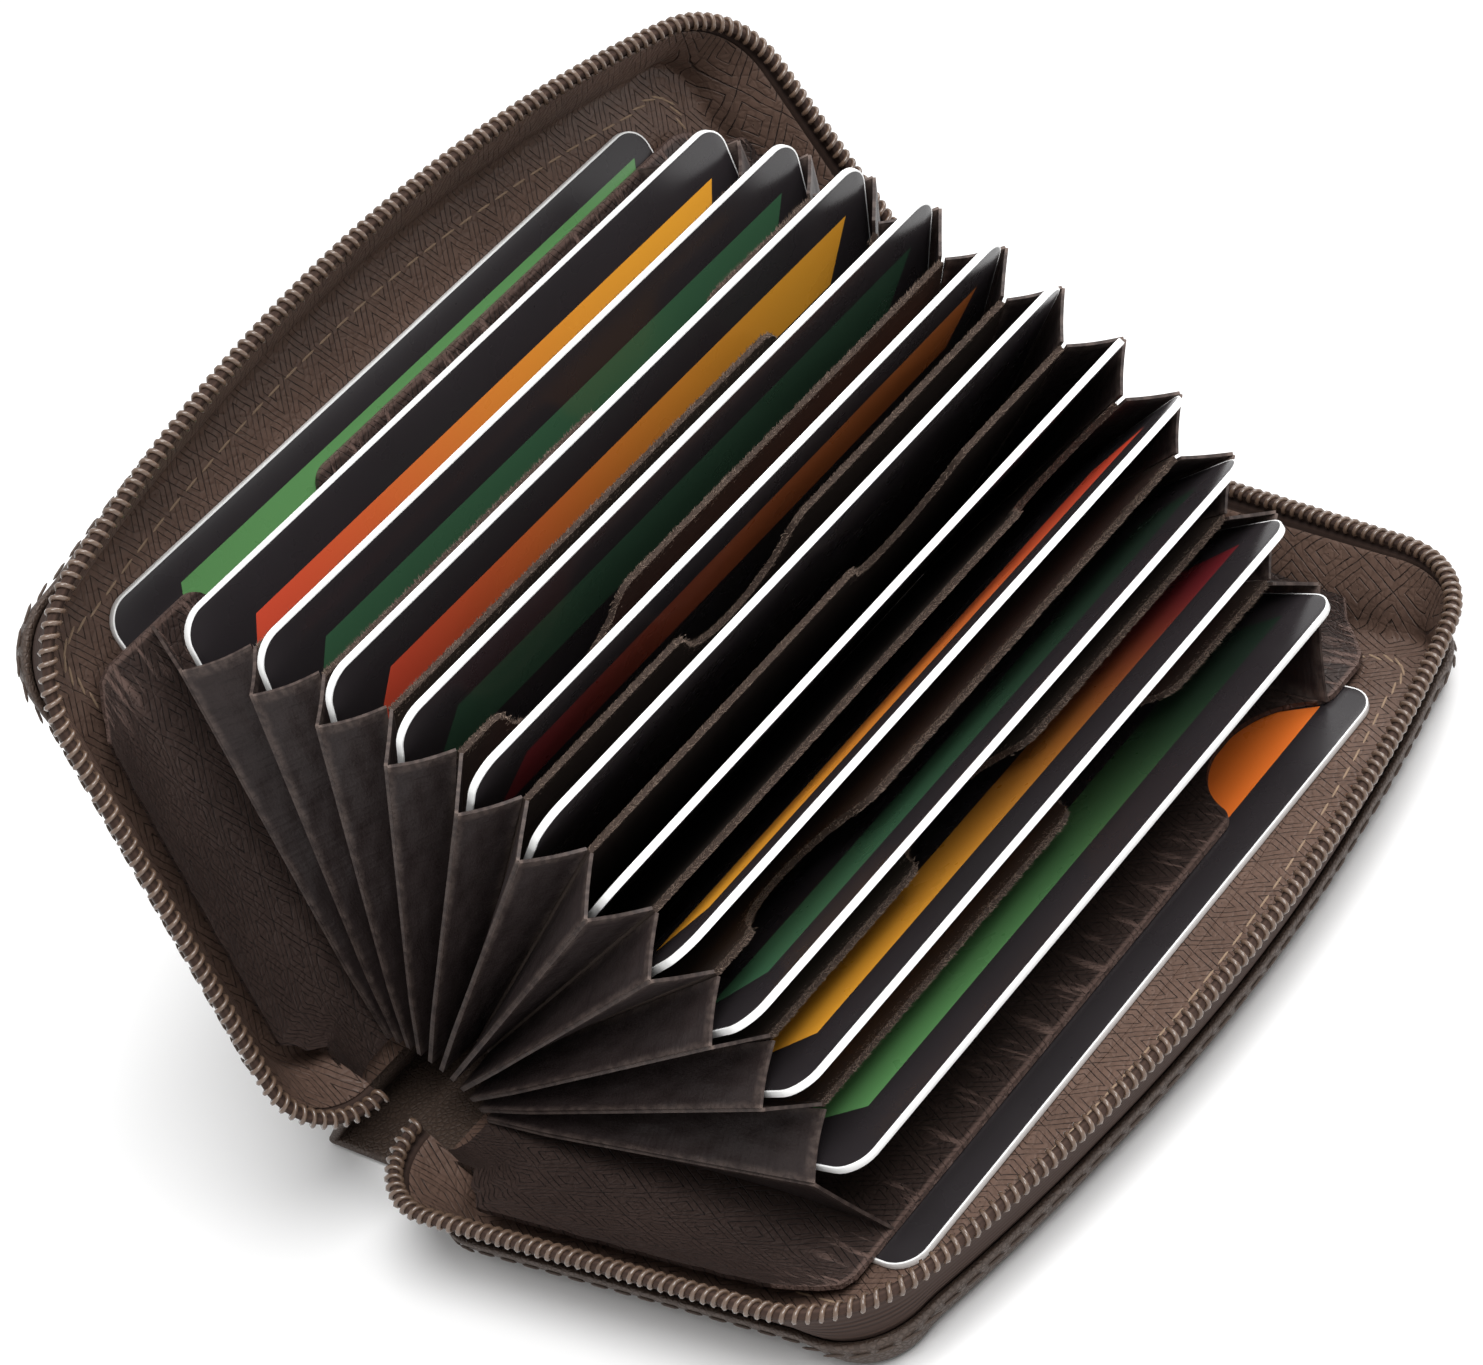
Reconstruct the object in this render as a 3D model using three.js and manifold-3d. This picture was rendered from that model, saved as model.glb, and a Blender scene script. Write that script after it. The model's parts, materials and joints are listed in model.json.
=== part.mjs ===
// Zip-round card case with a fan of card pockets, lying open on its lower cover.
// Millimetres, +Z up. The origin is the middle of the lower cover's flat underside.
// Everything is drawn as it lies when the case is shut, one leaf over the other,
// and each leaf is then turned open about its own fold line by a nested group.
// Along the shut stack x runs beside the spine, r runs from the spine to the free
// edge and h runs up through the layers from the lower cover's outer face.
import * as THREE from 'three';
import { mergeVertices } from 'three/addons/utils/BufferGeometryUtils.js';
import Module from 'manifold-3d';

const wasm = await Module();
wasm.setup();

// Bank cards
const cardLength = 85.6;
const cardWidth = 53.98;
const cardThick = 0.76;
const cardCorner = 3.18;
const cardCount = 13;

// Layers of a cover and of the fan
const leatherThick = 1.0;
const boardThick = 0.7;
const liningThick = 0.4;
const panelThick = 0.6;
const dividerThick = 0.64;
const gussetThick = 0.32;
const layerGap = 0.1;
const pieceGap = 0.3;

// Heights of the layers above a cover's outer face
const boardLow = leatherThick + layerGap;
const liningLow = boardLow + boardThick + layerGap;
const endCardLow = liningLow + liningThick + layerGap;
const endCardMid = endCardLow + cardThick / 2;
const panelLow = endCardLow + cardThick + layerGap;
const panelHigh = panelLow + panelThick;
const endPitch = cardThick + panelThick + 2 * layerGap;
const leafPitch = cardThick + dividerThick + 2 * layerGap;
const shutThick = 2 * endCardMid + 2 * endPitch + (cardCount - 3) * leafPitch;

// Fold lines, as distances from the spine edge of the covers
const innerFoldAt = 5.8;
const endFoldAt = 3.5;
const endFoldHeight = panelHigh + layerGap / 2;
const cardFoot = 5.2;
const dividerFoot = 4.2;
const stripFoot = 4.0;
const stripTop = 4.9;
const stripThick = 0.4;
const cardTop = cardFoot + cardWidth;
const cardEnd = cardLength / 2;

// How far each card stands open from the one below it, in degrees
const openSteps = [12.2, 9.2, 7.2, 7.9, 7.5, 7.7, 6.6, 7.9, 7.9, 8.0, 9.7, 11.6];

// Dividers and their thumb notches; the cards stand past their ends and their tops
const dividerShort = 3.7;
const dividerShow = 4.68;
const dividerHalf = cardEnd - dividerShort;
const dividerTop = cardTop - dividerShow;
const notchRadius = 9.2;
const notchDepth = 7.6;
const notchFirst = 15.25;
const notchStep = 18;
const notchCycle = 4;

// Gussets, folded outward between two leaves
const gussetBeyond = 1.8;
const gussetShow = 4.18;
const gussetReach = cardEnd + gussetBeyond;
const gussetTop = cardTop - gussetShow;
const gussetClear = 0.15;
const stripEnd = gussetReach + gussetThick / 2;
const earHalf = 0.54;

// Outline of a cover along the zip
const rimSideRoom = 16.4;
const rimFrontRoom = 14.02;
const rimHalf = gussetReach + rimSideRoom;
const rimReach = cardTop + rimFrontRoom;
const rimBowRadius = 187;
const rimCornerRadius = 14;
const rimCurlRadius = 9.5;
const rimFoot = 4.4;
const rimLean = THREE.MathUtils.degToRad(5.6);
const coverCentre = 36;
const hingeClear = 0.8;

// The walls lean outward: their foot stands this far inside the zip, less at the stiffer corners
const wallLean = 5.9;
const cornerLean = 3.9;
const stiffShare = 0.25;

// Leather shell of a cover
const rimOut = 1.3;
const rimHeight = 4.6;
const edgeRound = 1.0;
const shellOverlap = 3.0;

// Zip tape and its teeth
const tapeThick = 0.6;
const tapeOut = 0.1;
const tapeFoot = boardLow;
const chainHeight = 1.7;
const chainFootHeight = 0.7;
const chainOut = 0.6;
const chainIn = 0.9;
const chainCrown = 0.7;
const toothPitch = 2.4;
const toothBite = 0.35;
const toothRise = 1.35;
const rootToothShort = 0.5;
const chainGap = 0.1;

// Pocket panel of a cover
const panelFoot = 4.0;
const panelShow = 4.18;
const panelSide = 5.4;
const panelTop = cardTop - panelShow;
const panelHalf = rimHalf - panelSide;
const panelCorner = 12;

// Leather strip over the spine, in two links
const spineSide = 0.5;
const spineHalf = rimHalf - rimCurlRadius - spineSide;
const spineSlack = 0.92;
const spineSetback = 1.66;

// Tail of the zip with its slider and puller
const tailAt = rimHalf;
const tailFoot = 4.4;
const tailBend = 4;
const tailTop = 13.2;
const tailHalf = 3.0;
const cordHalf = 1.6;
const cordThick = 1.8;
const sliderLow = 8.6;
const sliderLength = 7.6;
const sliderHalf = 3.5;
const sliderInner = 1.2;
const sliderOuter = 2.1;
const sliderLip = 0.55;
const sliderLipWide = 1.2;
const postHalf = 0.8;
const postLength = 1.6;
const sliderRoom = 3.8;
const farRimFoot = sliderLow + sliderLength + sliderRoom;
const lugHalf = 0.8;
const lugLength = 5.0;
const lugWall = 0.7;
const lugHeight = 2.3;
const pivotOut = 2.9;
const pullerLength = 16;
const pullerHalf = 2.2;
const pullerWindowHalf = 1.2;
const pullerWindow = 3.6;
const pullerBar = 0.9;
const pullerThick = 0.9;
const cutOver = 2;

// Points nearer than this count as one
const samePoint = 0.0001;

// Looks
const leatherLook = { color: 0x5a3a2c, roughness: 0.5, metalness: 0 };
const boardLook = { color: 0x6f675c, roughness: 0.9, metalness: 0 };
const liningLook = { color: 0x2b2422, roughness: 0.75, metalness: 0 };
const dividerLook = { color: 0x3b2a22, roughness: 0.85, metalness: 0 };
const gussetLook = { color: 0x453a36, roughness: 0.7, metalness: 0 };
const tapeLook = { color: 0x33241d, roughness: 0.9, metalness: 0 };
const chainLook = { color: 0x6b4a2c, roughness: 0.35, metalness: 0.1 };
const metalLook = { color: 0x7a6a50, roughness: 0.3, metalness: 1 };
const cardLooks = [0x1d6b3a, 0xb8371c, 0x144a2c, 0xc2411d, 0x144a2c, 0x7c3416, 0x18181a,
  0x18181a, 0xc79a1c, 0x2c7a3c, 0xc2611d, 0x2c7a3c, 0xc2611d];

// Where the middle of card k lies in the shut stack, card 1 in the upper cover
function cardMid(k) {
  if (k === cardCount) return endCardMid;
  if (k === 1) return shutThick - endCardMid;
  return endCardMid + endPitch + (cardCount - 1 - k) * leafPitch;
}

const stackMid = shutThick / 2;

// A point of the shut stack
function at(x, r, h) {
  return [x, coverCentre - r, h];
}

// Closed solid from corner and face lists, turned to face outward
function closedSolid(points, faces) {
  let volume = 0;
  for (const [a, b, c] of faces) {
    const [p, q, s] = [points[a], points[b], points[c]];
    volume += p[0] * (q[1] * s[2] - q[2] * s[1]);
    volume += p[1] * (q[2] * s[0] - q[0] * s[2]);
    volume += p[2] * (q[0] * s[1] - q[1] * s[0]);
  }
  const list = volume < 0 ? faces.map(([a, b, c]) => [a, c, b]) : faces;
  const geometry = new THREE.BufferGeometry();
  geometry.setAttribute('position', new THREE.Float32BufferAttribute(points.flat(), 3));
  geometry.setIndex(list.flat());
  return geometry;
}

// Skin through rings that all have the same number of corners, capped at both ends
function loft(rings) {
  const count = rings[0].length;
  const points = rings.flat();
  const faces = [];
  for (let i = 0; i + 1 < rings.length; i += 1) {
    for (let j = 0; j < count; j += 1) {
      const a = i * count + j;
      const b = i * count + ((j + 1) % count);
      faces.push([a, b, b + count], [a, b + count, a + count]);
    }
  }
  const capOf = (ring) => {
    const normal = new THREE.Vector3();
    const corner = ring.map((p) => new THREE.Vector3(...p));
    for (let j = 0; j < count; j += 1) {
      const next = corner[(j + 1) % count];
      normal.add(new THREE.Vector3().crossVectors(corner[j], next));
    }
    normal.normalize();
    const side = new THREE.Vector3().subVectors(corner[1], corner[0]).normalize();
    const up = new THREE.Vector3().crossVectors(normal, side);
    const flat = corner.map((p) => new THREE.Vector2(p.dot(side), p.dot(up)));
    return THREE.ShapeUtils.triangulateShape(flat, []);
  };
  for (const [a, b, c] of capOf(rings[0])) faces.push([a, c, b]);
  const last = (rings.length - 1) * count;
  for (const [a, b, c] of capOf(rings[rings.length - 1])) {
    faces.push([a + last, b + last, c + last]);
  }
  return closedSolid(points, faces);
}

// Flat plate from an outline in x and r, between two heights
function plate(outline, low, high) {
  const shape = new THREE.Shape(outline.map(([x, r]) => new THREE.Vector2(x, coverCentre - r)));
  const geometry = new THREE.ExtrudeGeometry(shape, { depth: high - low, bevelEnabled: false });
  return geometry.translate(0, 0, low);
}

// Solids for joining and cutting
function toSolid(geometry) {
  const bare = geometry.clone();
  bare.deleteAttribute('normal');
  bare.deleteAttribute('uv');
  const merged = mergeVertices(bare, samePoint);
  return new wasm.Manifold(new wasm.Mesh({
    numProp: 3,
    vertProperties: new Float32Array(merged.attributes.position.array),
    triVerts: new Uint32Array(merged.index.array),
  }));
}

function toGeometry(solid) {
  const mesh = solid.getMesh();
  const geometry = new THREE.BufferGeometry();
  geometry.setAttribute('position', new THREE.BufferAttribute(mesh.vertProperties, 3));
  geometry.setIndex(new THREE.BufferAttribute(mesh.triVerts, 1));
  return geometry;
}

function join(...geometries) {
  return toGeometry(geometries.map(toSolid).reduce((a, b) => a.add(b)));
}

function cut(geometry, ...tools) {
  return toGeometry(tools.map(toSolid).reduce((a, b) => a.subtract(b), toSolid(geometry)));
}

function common(a, b) {
  return toGeometry(toSolid(a).intersect(toSolid(b)));
}

function box(x0, x1, r0, r1, h0, h1) {
  const geometry = new THREE.BoxGeometry(x1 - x0, r1 - r0, h1 - h0);
  return geometry.translate((x0 + x1) / 2, coverCentre - (r0 + r1) / 2, (h0 + h1) / 2);
}

// Path of the zip round a cover: curl, side, corner, bowed free edge and back
const curlX = rimHalf - rimCurlRadius;
const curlR = rimFoot + rimCurlRadius;
const bowCentre = new THREE.Vector2(0, rimReach - rimBowRadius);
const sideUp = new THREE.Vector2(Math.sin(rimLean), Math.cos(rimLean));
const sideIn = new THREE.Vector2(Math.cos(rimLean), -Math.sin(rimLean));
const sideStart = new THREE.Vector2(-rimHalf, curlR);
const cornerFrom = sideStart.clone().addScaledVector(sideIn, rimCornerRadius).sub(bowCentre);
const along = cornerFrom.dot(sideUp);
const reach = rimBowRadius - rimCornerRadius;
const sideLength = Math.sqrt(along * along - cornerFrom.lengthSq() + reach * reach) - along;
const corner = cornerFrom.clone().addScaledVector(sideUp, sideLength).add(bowCentre);
const bowAngle = corner.clone().sub(bowCentre).angle();
const cornerAngle = Math.PI + Math.atan2(-sideIn.y, sideIn.x) * -1;

function rimPath(farFoot) {
  const path = new THREE.Path();
  path.absarc(-curlX, curlR, rimCurlRadius, -Math.PI / 2, -Math.PI, true);
  path.absarc(corner.x, corner.y, rimCornerRadius, cornerAngle, bowAngle, true);
  path.absarc(bowCentre.x, bowCentre.y, rimBowRadius, bowAngle, Math.PI - bowAngle, true);
  path.absarc(-corner.x, corner.y, rimCornerRadius, Math.PI - bowAngle, Math.PI - cornerAngle, true);
  if (farFoot === undefined) {
    path.absarc(curlX, curlR, rimCurlRadius, 0, -Math.PI / 2, true);
  } else {
    const rise = (farFoot - curlR) / Math.cos(rimLean);
    path.lineTo(rimHalf - rise * Math.sin(rimLean), farFoot);
  }
  return path;
}

// Points of a path with the outward normal at each, mitred at the bends
const mitreShare = 0.5;

function withNormals(points) {
  return points.map((p, i) => {
    const before = points[Math.max(i - 1, 0)];
    const after = points[Math.min(i + 1, points.length - 1)];
    const t0 = p.clone().sub(before);
    const t1 = after.clone().sub(p);
    const a = (i > 0 ? t0 : t1).normalize();
    const b = (i < points.length - 1 ? t1 : t0).normalize();
    const normal = new THREE.Vector2(-a.y - b.y, a.x + b.x).normalize();
    const scale = 1 / Math.max(normal.dot(new THREE.Vector2(-a.y, a.x)), mitreShare);
    return { x: p.x, r: p.y, nx: normal.x * scale, nr: normal.y * scale };
  });
}

function clean(points) {
  return points.filter((p, i) => i === 0 || p.distanceTo(points[i - 1]) > samePoint);
}

const rimPoints = withNormals(clean(rimPath().getPoints(4)));
const tapePoints = withNormals(clean(rimPath(farRimFoot).getPoints(4)));

function leanAt(p) {
  const slant = (2 * Math.abs(p.nx) * p.nr) / (p.nx * p.nx + p.nr * p.nr);
  const stiff = Math.max(slant - stiffShare, 0) / (1 - stiffShare);
  return wallLean + (cornerLean - wallLean) * stiff;
}

// Outline at a distance from the wall's foot, out is positive
function offsetOutline(out) {
  return rimPoints.map((p) => {
    const run = out - leanAt(p);
    return [p.x + run * p.nx, p.r + run * p.nr];
  });
}

// Profile in out and height, carried along a path; the upper cover is its mirror
function sweep(points, profileAt, upper) {
  return loft(points.map((p, i) => profileAt(i).map(([out, h]) => (
    at(p.x + out * p.nx, p.r + out * p.nr, upper ? shutThick - h : h)
  ))));
}

// A profile that leans outward with its height, as the wall does at each point
const tapeHigh = stackMid - chainHeight - chainGap;

function leaning(points, profile) {
  return (i) => profile.map(([out, h]) => {
    const rise = (h - tapeFoot) / (tapeHigh - tapeFoot);
    return [out + leanAt(points[i]) * (rise - 1), h];
  });
}

function coverPlate(outline, low, high, upper) {
  return upper ? plate(outline, shutThick - high, shutThick - low) : plate(outline, low, high);
}

// Leather shell: a flat plate with a turned-up edge on its three free sides
const bevelShare = 0.3;
const bevel = edgeRound * bevelShare;
const shellProfile = [
  [-shellOverlap, 0],
  [rimOut - edgeRound, 0],
  [rimOut - bevel, bevel],
  [rimOut, edgeRound],
  [rimOut, rimHeight - bevel],
  [rimOut - bevel, rimHeight],
  [rimOut - edgeRound + bevel, rimHeight],
  [rimOut - edgeRound, rimHeight - bevel],
  [rimOut - edgeRound, leatherThick],
  [-shellOverlap, leatherThick],
];

function leatherShell(upper) {
  const outline = offsetOutline(0);
  outline.push([curlX, hingeClear], [-curlX, hingeClear]);
  const base = coverPlate(outline, 0, leatherThick, upper);
  return join(base, sweep(rimPoints, leaning(rimPoints, shellProfile), upper));
}

// Flat layers inside the shell, clear of the tape all round
const tapeIn = tapeThick - tapeOut;
const layerInset = tapeIn + layerGap;
const layerFoot = hingeClear + layerGap;

function flatLayer(inset, low, high, upper) {
  const outline = offsetOutline(-inset);
  const side = curlX - inset;
  const foot = rimFoot + wallLean + inset;
  outline.push([side, foot], [side, layerFoot], [-side, layerFoot], [-side, foot]);
  return coverPlate(outline, low, high, upper);
}

function thumbNotch(place, top, low, high) {
  const centre = top - notchDepth + notchRadius;
  const middle = -dividerHalf + notchFirst + (place % notchCycle) * notchStep;
  const outline = [];
  const steps = 24;
  for (let i = 0; i < steps; i += 1) {
    const a = (i / steps) * 2 * Math.PI;
    outline.push([middle + notchRadius * Math.cos(a), centre + notchRadius * Math.sin(a)]);
  }
  return plate(outline, low, high);
}

// Rectangle between two distances from the spine with its two free corners rounded
function roundedTop(half, foot, top, radius, steps) {
  const outline = [[-half, foot]];
  for (let i = 0; i <= steps; i += 1) {
    const a = Math.PI - (i / steps) * (Math.PI / 2);
    outline.push([-half + radius + radius * Math.cos(a), top - radius + radius * Math.sin(a)]);
  }
  for (let i = 0; i <= steps; i += 1) {
    const a = Math.PI / 2 - (i / steps) * (Math.PI / 2);
    outline.push([half - radius + radius * Math.cos(a), top - radius + radius * Math.sin(a)]);
  }
  outline.push([half, foot]);
  return outline;
}

function pocketPanel(upper, place) {
  const low = upper ? shutThick - panelHigh : panelLow;
  const high = low + panelThick;
  const form = plate(roundedTop(panelHalf, panelFoot, panelTop, panelCorner, 6), low, high);
  const inside = offsetOutline(-layerInset);
  inside.push([curlX, panelFoot], [-curlX, panelFoot]);
  const notch = thumbNotch(place, panelTop, low - cutOver, high + cutOver);
  return cut(common(form, plate(inside, low - cutOver, high + cutOver)), notch);
}

// Zip tape, standing along the edge, and the row of teeth on it
const toothTip = stackMid + toothBite;
const chainLow = stackMid - chainHeight;

function zipTape(upper) {
  const profile = [[-tapeIn, tapeFoot], [tapeOut, tapeFoot], [tapeOut, tapeHigh], [-tapeIn, tapeHigh]];
  return sweep(tapePoints, leaning(tapePoints, profile), upper);
}

function zipTeeth(upper) {
  const path = rimPath(farRimFoot);
  const teeth = Math.floor(path.getLength() / toothPitch);
  const points = [];
  for (let i = 0; i <= 2 * teeth; i += 1) {
    points.push(path.getPointAt((i * toothPitch) / 2 / path.getLength()));
  }
  const tops = points.map((p, i) => {
    const crest = (i % 2 === 1) !== upper;
    const tip = p.y < curlR ? toothTip - rootToothShort : toothTip;
    return crest ? tip : tip - toothRise;
  });
  const profileAt = (i) => [
    [-chainIn, chainLow],
    [chainOut, chainLow],
    [chainOut, chainLow + (tops[i] - chainLow) * chainCrown],
    [(chainOut - chainIn) / 2 + chainCrown / 2, tops[i]],
    [(chainOut - chainIn) / 2 - chainCrown / 2, tops[i]],
    [-chainIn, chainLow + (tops[i] - chainLow) * chainCrown],
  ];
  return sweep(withNormals(points), profileAt, upper);
}

// A card standing in its pocket
function bankCard(k) {
  const outline = [];
  const [x0, x1] = [-cardLength / 2, cardLength / 2];
  const [r0, r1] = [cardFoot, cardFoot + cardWidth];
  const corners = [[x0, r0, 2], [x1, r0, 3], [x1, r1, 0], [x0, r1, 1]];
  const steps = 4;
  for (const [x, r, quarter] of corners) {
    const cx = x - Math.sign(x) * cardCorner;
    const cr = r === r0 ? r0 + cardCorner : r1 - cardCorner;
    for (let i = 0; i <= steps; i += 1) {
      const a = (quarter + i / steps) * (Math.PI / 2);
      outline.push([cx + cardCorner * Math.cos(a), cr + cardCorner * Math.sin(a)]);
    }
  }
  return plate(outline, cardMid(k) - cardThick / 2, cardMid(k) + cardThick / 2);
}

// The divider between card k and card k + 1
function divider(k) {
  const middle = (cardMid(k) + cardMid(k + 1)) / 2;
  const low = middle - dividerThick / 2;
  const high = middle + dividerThick / 2;
  const outline = [[-dividerHalf, dividerFoot], [-dividerHalf, dividerTop]];
  outline.push([dividerHalf, dividerTop], [dividerHalf, dividerFoot]);
  return cut(plate(outline, low, high), thumbNotch(k - 1, dividerTop, low - cutOver, high + cutOver));
}

// How far a neighbouring leaf stands off a card's plane at distance r, once it is open
function standOff(r, foldOff, foldAt, beyond, degrees) {
  const turn = THREE.MathUtils.degToRad(degrees);
  return foldOff + beyond * Math.cos(turn) + (r - foldAt) * Math.tan(turn);
}

// Strip under a card with a thin-walled leg growing out of its top at each end. The strip's
// outline and each leg's rings are given in x and h, the levels in r.
function strippedLegs(outline, low, high, legs) {
  const points = [];
  const faces = [];
  const put = (ring, r) => ring.map(([x, h]) => points.push(at(x, r, h)) - 1);
  const flat = (ring) => ring.map(([x, h]) => new THREE.Vector2(x, h));
  const cap = (rings, ids, facingUp) => {
    const corners = flat(rings.flat());
    for (const trio of THREE.ShapeUtils.triangulateShape(flat(rings[0]), rings.slice(1).map(flat))) {
      const [a, b, c] = trio.map((i) => ids[i]);
      const turnsLeft = THREE.ShapeUtils.area(trio.map((i) => corners[i])) > 0;
      faces.push(turnsLeft === facingUp ? [a, b, c] : [a, c, b]);
    }
  };
  // each quad is split from its inner foot, so that the two faces of a wall turn alike
  const wall = (below, above) => below.forEach((a, i) => {
    const j = (i + 1) % below.length;
    const b = below[j];
    if (Math.abs(points[a][0]) < Math.abs(points[b][0])) {
      faces.push([a, b, above[j]], [a, above[j], above[i]]);
    } else {
      faces.push([a, b, above[i]], [b, above[j], above[i]]);
    }
  });
  const foot = put(outline, low);
  const top = put(outline, high);
  const roots = legs.map((levels) => put(levels[0].ring, high));
  cap([outline], foot, false);
  wall(foot, top);
  cap([outline, ...legs.map((levels) => levels[0].ring)], [...top, ...roots.flat()], true);
  legs.forEach((levels, n) => {
    let below = roots[n];
    for (const { ring, r } of levels.slice(1)) {
      const above = put(ring, r);
      wall(below, above);
      below = above;
    }
    cap([levels[levels.length - 1].ring], below, true);
  });
  return closedSolid(points, faces);
}

// Gusset of the pocket that holds card k: an outward fold at each end, pinched at the root
const gussetLevelShares = [0, 0.12, 0.45, 1];
const pinchShare = 0.72;

function gusset(k) {
  const below = openSteps[cardCount - 1 - k];
  const above = openSteps[cardCount - k];
  const fold = leafPitch / 4;
  const endFold = cardThick / 2 + layerGap / 2;
  const standsOff = (degrees, end) => (r) => (end
    ? standOff(r, endFold, endFoldAt, layerGap / 2, degrees)
    : standOff(r, fold, innerFoldAt, fold, degrees / 2));
  const lower = standsOff(below, k === cardCount - 1);
  const upper = standsOff(above, k === 2);
  const inX = dividerHalf + pieceGap;
  const cardX = cardEnd + pieceGap;
  const middle = cardMid(k);
  const section = (r, side, pinch) => {
    const space = Math.min(lower(r), upper(r)) - cardThick / 2;
    const wall = Math.min(gussetThick, space / 2);
    const clear = Math.min(gussetClear, space / 4);
    const innerHalf = cardThick / 2 + clear;
    const [low, high] = [lower(r) - clear, upper(r) - clear];
    const wing = (wide) => wide * (gussetReach - cardX) / (gussetReach - inX);
    const mid = (wide) => Math.max(wing(wide), innerHalf + wall);
    const ring = [
      [inX, -low],
      [cardX, -mid(low)],
      [gussetReach, -wall],
      [gussetReach, wall],
      [cardX, mid(high)],
      [inX, high],
      [inX, high - wall],
      [cardX - wall / 2, mid(high) - wall],
      [gussetReach - wall * 2, 0],
      [cardX - wall / 2, wall - mid(low)],
      [inX, wall - low],
    ].map(([x, h]) => [side * x, middle + pinch * h]);
    return side > 0 ? ring : ring.reverse();
  };
  const leg = (side) => [
    { ring: section(stripTop, side, pinchShare), r: stripTop },
    ...gussetLevelShares.map((share) => {
      const r = cardFoot + share * (gussetTop - cardFoot);
      return { ring: section(r, side, 1), r };
    }),
  ];
  const half = stripThick / 2;
  const earIn = dividerHalf + pieceGap / 2;
  const outline = [
    [-stripEnd, -earHalf], [-earIn, -earHalf], [-earIn, -half],
    [earIn, -half], [earIn, -earHalf], [stripEnd, -earHalf],
    [stripEnd, earHalf], [earIn, earHalf], [earIn, half],
    [-earIn, half], [-earIn, earHalf], [-stripEnd, earHalf],
  ].map(([x, h]) => [x, middle + h]);
  return strippedLegs(outline, stripFoot, stripTop, [leg(-1), leg(1)]);
}

// One link of the spine leather: a flat strip with round long edges
function spineLink(length) {
  const half = leatherThick / 2;
  const run = length - spineSetback;
  const steps = 6;
  const outline = [];
  for (let i = 0; i <= steps; i += 1) {
    const a = Math.PI / 2 + (i / steps) * Math.PI;
    outline.push(new THREE.Vector2(half * Math.cos(a), half * Math.sin(a)));
  }
  for (let i = 0; i <= steps; i += 1) {
    const a = -Math.PI / 2 + (i / steps) * Math.PI;
    outline.push(new THREE.Vector2(run + half * Math.cos(a), half * Math.sin(a)));
  }
  const shape = new THREE.Shape(outline);
  const geometry = new THREE.ExtrudeGeometry(shape, { depth: 2 * spineHalf, bevelEnabled: false });
  geometry.translate(0, 0, -spineHalf);
  geometry.rotateY(Math.PI / 2);
  geometry.rotateX(Math.PI / 2);
  return geometry;
}

// Sewn tail at the far end of the zip, with the closed teeth as a cord down its middle
function zipTail() {
  const path = new THREE.Path();
  path.moveTo(stripEnd + pieceGap, tailFoot);
  path.lineTo(tailAt - tailBend, tailFoot);
  path.absarc(tailAt - tailBend, tailFoot + tailBend, tailBend, -Math.PI / 2, 0, false);
  path.lineTo(tailAt, tailTop);
  const points = withNormals(clean(path.getPoints(3)));
  const flat = tapeThick / 2;
  const cord = cordThick / 2;
  const profile = [
    [-flat, stackMid - tailHalf], [flat, stackMid - tailHalf],
    [flat, stackMid - cordHalf], [cord, stackMid - cordHalf + cord / 2],
    [cord, stackMid + cordHalf - cord / 2], [flat, stackMid + cordHalf],
    [flat, stackMid + tailHalf], [-flat, stackMid + tailHalf],
    [-flat, stackMid + cordHalf], [-cord, stackMid + cordHalf - cord / 2],
    [-cord, stackMid - cordHalf + cord / 2], [-flat, stackMid - cordHalf],
  ];
  return sweep(points, () => profile, false);
}

// Slider: two lipped plates joined by a post at the open end, with a lug outside
function sliderPlate(side) {
  const inner = sliderHalf - sliderLipWide;
  const form = [
    [sliderLip, -sliderHalf], [sliderOuter, -sliderHalf], [sliderOuter, sliderHalf],
    [sliderLip, sliderHalf], [sliderLip, inner], [sliderInner, inner],
    [sliderInner, -inner], [sliderLip, -inner],
  ];
  const ring = (r) => form.map(([out, h]) => at(tailAt + side * out, r, stackMid + h));
  return loft([ring(sliderLow), ring(sliderLow + sliderLength)]);
}

const lugLow = sliderLow + (sliderLength - lugLength) / 2;
const pivotAt = lugLow + lugLength / 2;

function sliderBody() {
  const end = sliderLow + sliderLength;
  const inner = (sliderInner + sliderOuter) / 2;
  const post = box(tailAt - inner, tailAt + inner, end - postLength, end,
    stackMid - postHalf, stackMid + postHalf);
  const root = tailAt + inner;
  const top = tailAt + sliderOuter + lugHeight;
  const arch = box(root, top, lugLow, lugLow + lugLength, stackMid - lugHalf, stackMid + lugHalf);
  const eye = box(root - cutOver, top - lugWall, lugLow + lugWall, lugLow + lugLength - lugWall,
    stackMid - lugHalf - cutOver, stackMid + lugHalf + cutOver);
  const outerPlate = sliderPlate(1);
  const lug = cut(arch, eye);
  return join(outerPlate, lug, post, sliderPlate(-1));
}

// Puller: a short tab with a window that its bar closes under the lug
function puller() {
  const barTop = pivotAt + pullerBar / 2;
  const tip = pivotAt - pullerLength;
  const steps = 8;
  const outline = [[-pullerHalf, barTop], [pullerHalf, barTop]];
  for (let i = 0; i <= steps; i += 1) {
    const a = -(i / steps) * Math.PI;
    outline.push([pullerHalf * Math.cos(a), tip + pullerHalf + pullerHalf * Math.sin(a)]);
  }
  const low = tailAt + pivotOut - pullerThick / 2;
  const ring = (x) => outline.map(([h, r]) => at(x, r, stackMid + h));
  const tab = loft([ring(low), ring(low + pullerThick)]);
  const windowTop = pivotAt - pullerBar / 2;
  const eye = box(low - cutOver, low + pullerThick + cutOver, windowTop - pullerWindow, windowTop,
    stackMid - pullerWindowHalf, stackMid + pullerWindowHalf);
  return cut(tab, eye);
}

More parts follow.
